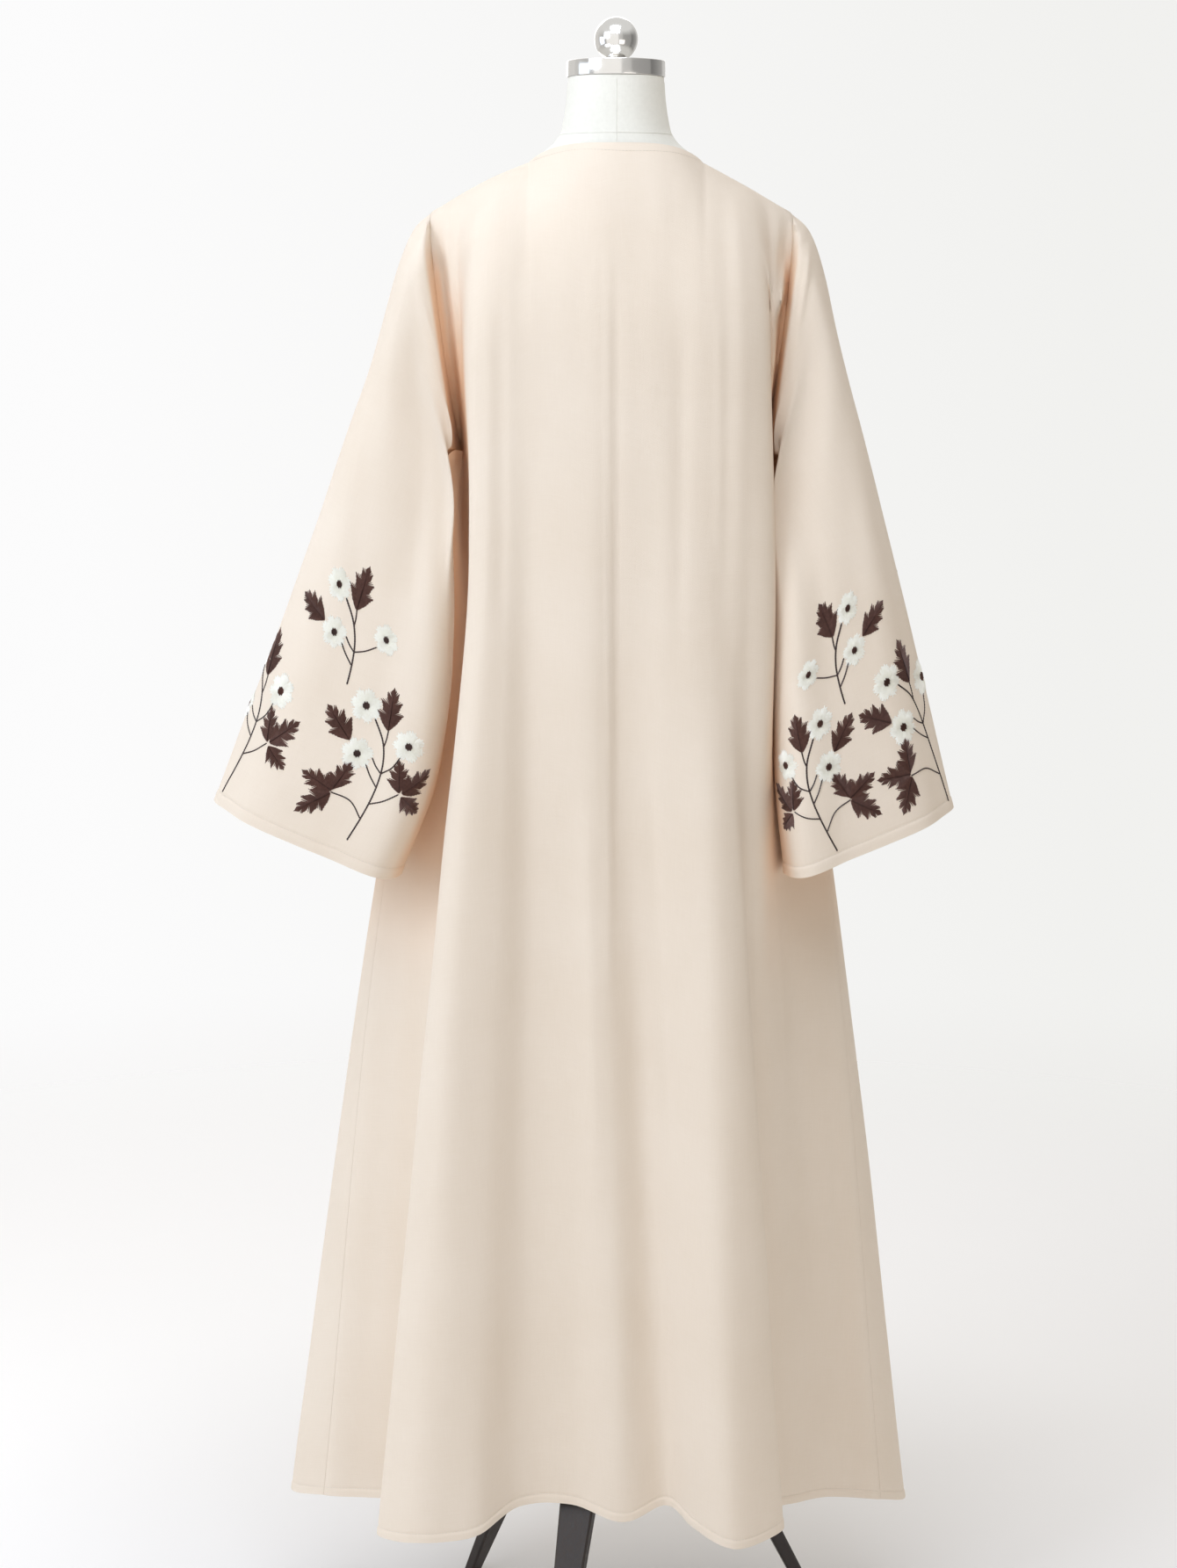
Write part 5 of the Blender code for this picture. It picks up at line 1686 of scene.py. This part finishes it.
# ---------------------------------------------------------------- the whole
HEM_ROWS = [0.0130, 0.0110, 0.0100, 0.0090, 0.0080, 0.0065, 0.0040, 0.0010, 0.0]
CUFF_ROWS = [0.0160, 0.0138, 0.0125, 0.0115, 0.0105, 0.0090, 0.0060, 0.0010, 0.0]
# The cut of each cloth before it was sewn: the width and length of the rectangle it comes from, and its
# area. A sleeve's width goes all round it.
Cut = namedtuple("Cut", "width length area")
CUTS = {
    "back": Cut(0.88, 1.45, 0.88),
    "front_left": Cut(0.52, 1.46, 0.47),
    "front_right": Cut(0.49, 1.47, 0.45),
    "sleeve_left": Cut(0.56, 0.64, 0.23),
    "sleeve_right": Cut(0.56, 0.63, 0.20),
}


def sewn_walls():
    """{name: (outer grid, inner grid)} of every cloth."""
    bases = {name: with_edge_rows(grid, HEM_ROWS) for name, grid in body_panels().items()}
    for seam in (SEAM_LEFT, SEAM_RIGHT):
        bases["sleeve_" + side_of(seam.top_x)] = with_edge_rows(sleeve_grid(seam), CUFF_ROWS)
    return cloth_walls(bases)


def add_stitching(name, outer, thread):
    """The machine stitches of a cloth: round its hem, and along its part of the neckline."""
    closed = is_tube(name)
    normals = outward(outer, closed)
    distances = edge_distances(outer)
    band = CUFF_BAND if closed else HEM_BAND
    threads = Threads()
    row = min(range(len(outer)), key=lambda r: abs(distances[r][0] - band))
    stitch_line(threads, outer[row], normals[row])
    if not closed:
        line = line_below_top(outer, NECK_STITCH)
        points, ups = [], []
        for c, edge in enumerate(outer[0]):
            if abs(edge.x) < NECK_HALF_WIDTH - NECK_STITCH_END:
                level = min(range(NECK_STITCH_ROWS), key=lambda r: abs(outer[r][c].z - line[c].z))
                points.append(line[c])
                ups.append(normals[level][c])
        stitch_line(threads, points, ups)
    return threads.made(name + "_stitching", thread)


def add_embroidery(side, outer, stem_thread, leaf_thread, petal_thread):
    """The sprigs of one sleeve, in three meshes."""
    normals = outward(outer, True)
    if side == "right":
        outer = [row[::-1] for row in outer]
        normals = [row[::-1] for row in normals]
    cloth = FlatSleeve(outer, normals)
    dark, brown, cream = Threads(), Threads(), Threads()
    for sprig in SPRIGS:
        if sprig.sleeve == side:
            Needle(cloth, sprig, dark, brown, cream).work()
    return [
        dark.made(f"stems_{side}", stem_thread),
        brown.made(f"leaves_{side}", leaf_thread),
        cream.made(f"petals_{side}", petal_thread),
    ]


def add_cloak():
    cream = cloth_material(
        "cream_crepe",
        colour=(0.85, 0.738, 0.612),
        light=(0.88, 0.773, 0.652),
        dark=(0.83, 0.713, 0.582),
        yarn=0.00045,
        bump_depth=0.00012,
        sheen=0.06,
    )
    stitch_thread = thread_material("cream_thread", (0.82, 0.74, 0.64), (0.70, 0.61, 0.50), 0.6, 0.2)
    leaf = thread_material("brown_thread", (0.150, 0.070, 0.052), (0.078, 0.034, 0.025), 0.5, 0.15)
    stem = thread_material("dark_brown_thread", (0.040, 0.017, 0.014), (0.018, 0.008, 0.007), 0.5, 0.03)
    petal = thread_material("petal_thread", (0.97, 0.96, 0.90), (0.90, 0.885, 0.80), 0.5, 0.3)
    walls = sewn_walls()
    cloths, trims = {}, {}
    for name, (outer, inner) in walls.items():
        cloths[name] = add_cloth(name, outer, inner, cream)
        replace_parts(cloths[name], name)
        cloths[name]
    for name, (outer, _) in walls.items():
        trims[name] = [add_stitching(name, outer, stitch_thread)]
    for side in ("left", "right"):
        name = "sleeve_" + side
        trims[name] += add_embroidery(side, walls[name][0], stem, leaf, petal)
    for name, cloth in cloths.items():
        cut = CUTS[name]
        trims[name]


def add_form_and_stand():
    cotton = cover_material("form_cotton", (0.86, 0.84, 0.76), (0.80, 0.78, 0.70))
    seam_cotton = cover_material("form_seam_cotton", (0.80, 0.78, 0.70), (0.74, 0.72, 0.64))
    chrome = steel_material("polished_steel_fine", (0.90, 0.885, 0.86), (0.10, 0.17), (60, 60, 240), 0.00002)
    pole_steel = steel_material(
        "pole_steel_brushed", (0.55, 0.55, 0.55), (0.22, 0.36), (1800, 1800, 30), 0.00006
    )
    wood = wood_material("dark_wood_satin", (0.030, 0.018, 0.013), (0.012, 0.007, 0.005))
    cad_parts["pole"].data.materials[0] = pole_steel
    for node in ("hub", "leg_1", "leg_2", "leg_3"):
        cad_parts[node].data.materials[0] = wood
    form, rings = add_form(cotton)
    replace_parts(form, "form_torso")
    add_form_seams(rings, seam_cotton)
    cap, seat_z = add_cap(chrome)
    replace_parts(cap, "neck_cap")
    knob = add_knob(seat_z, chrome)
    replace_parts(knob, "knob")


def main():
    add_camera()
    add_cloak()
    add_form_and_stand()
    add_floor(paper_material("studio_paper", (0.80, 0.79, 0.785), 0.95))
    add_lights()
    add_air()


main()
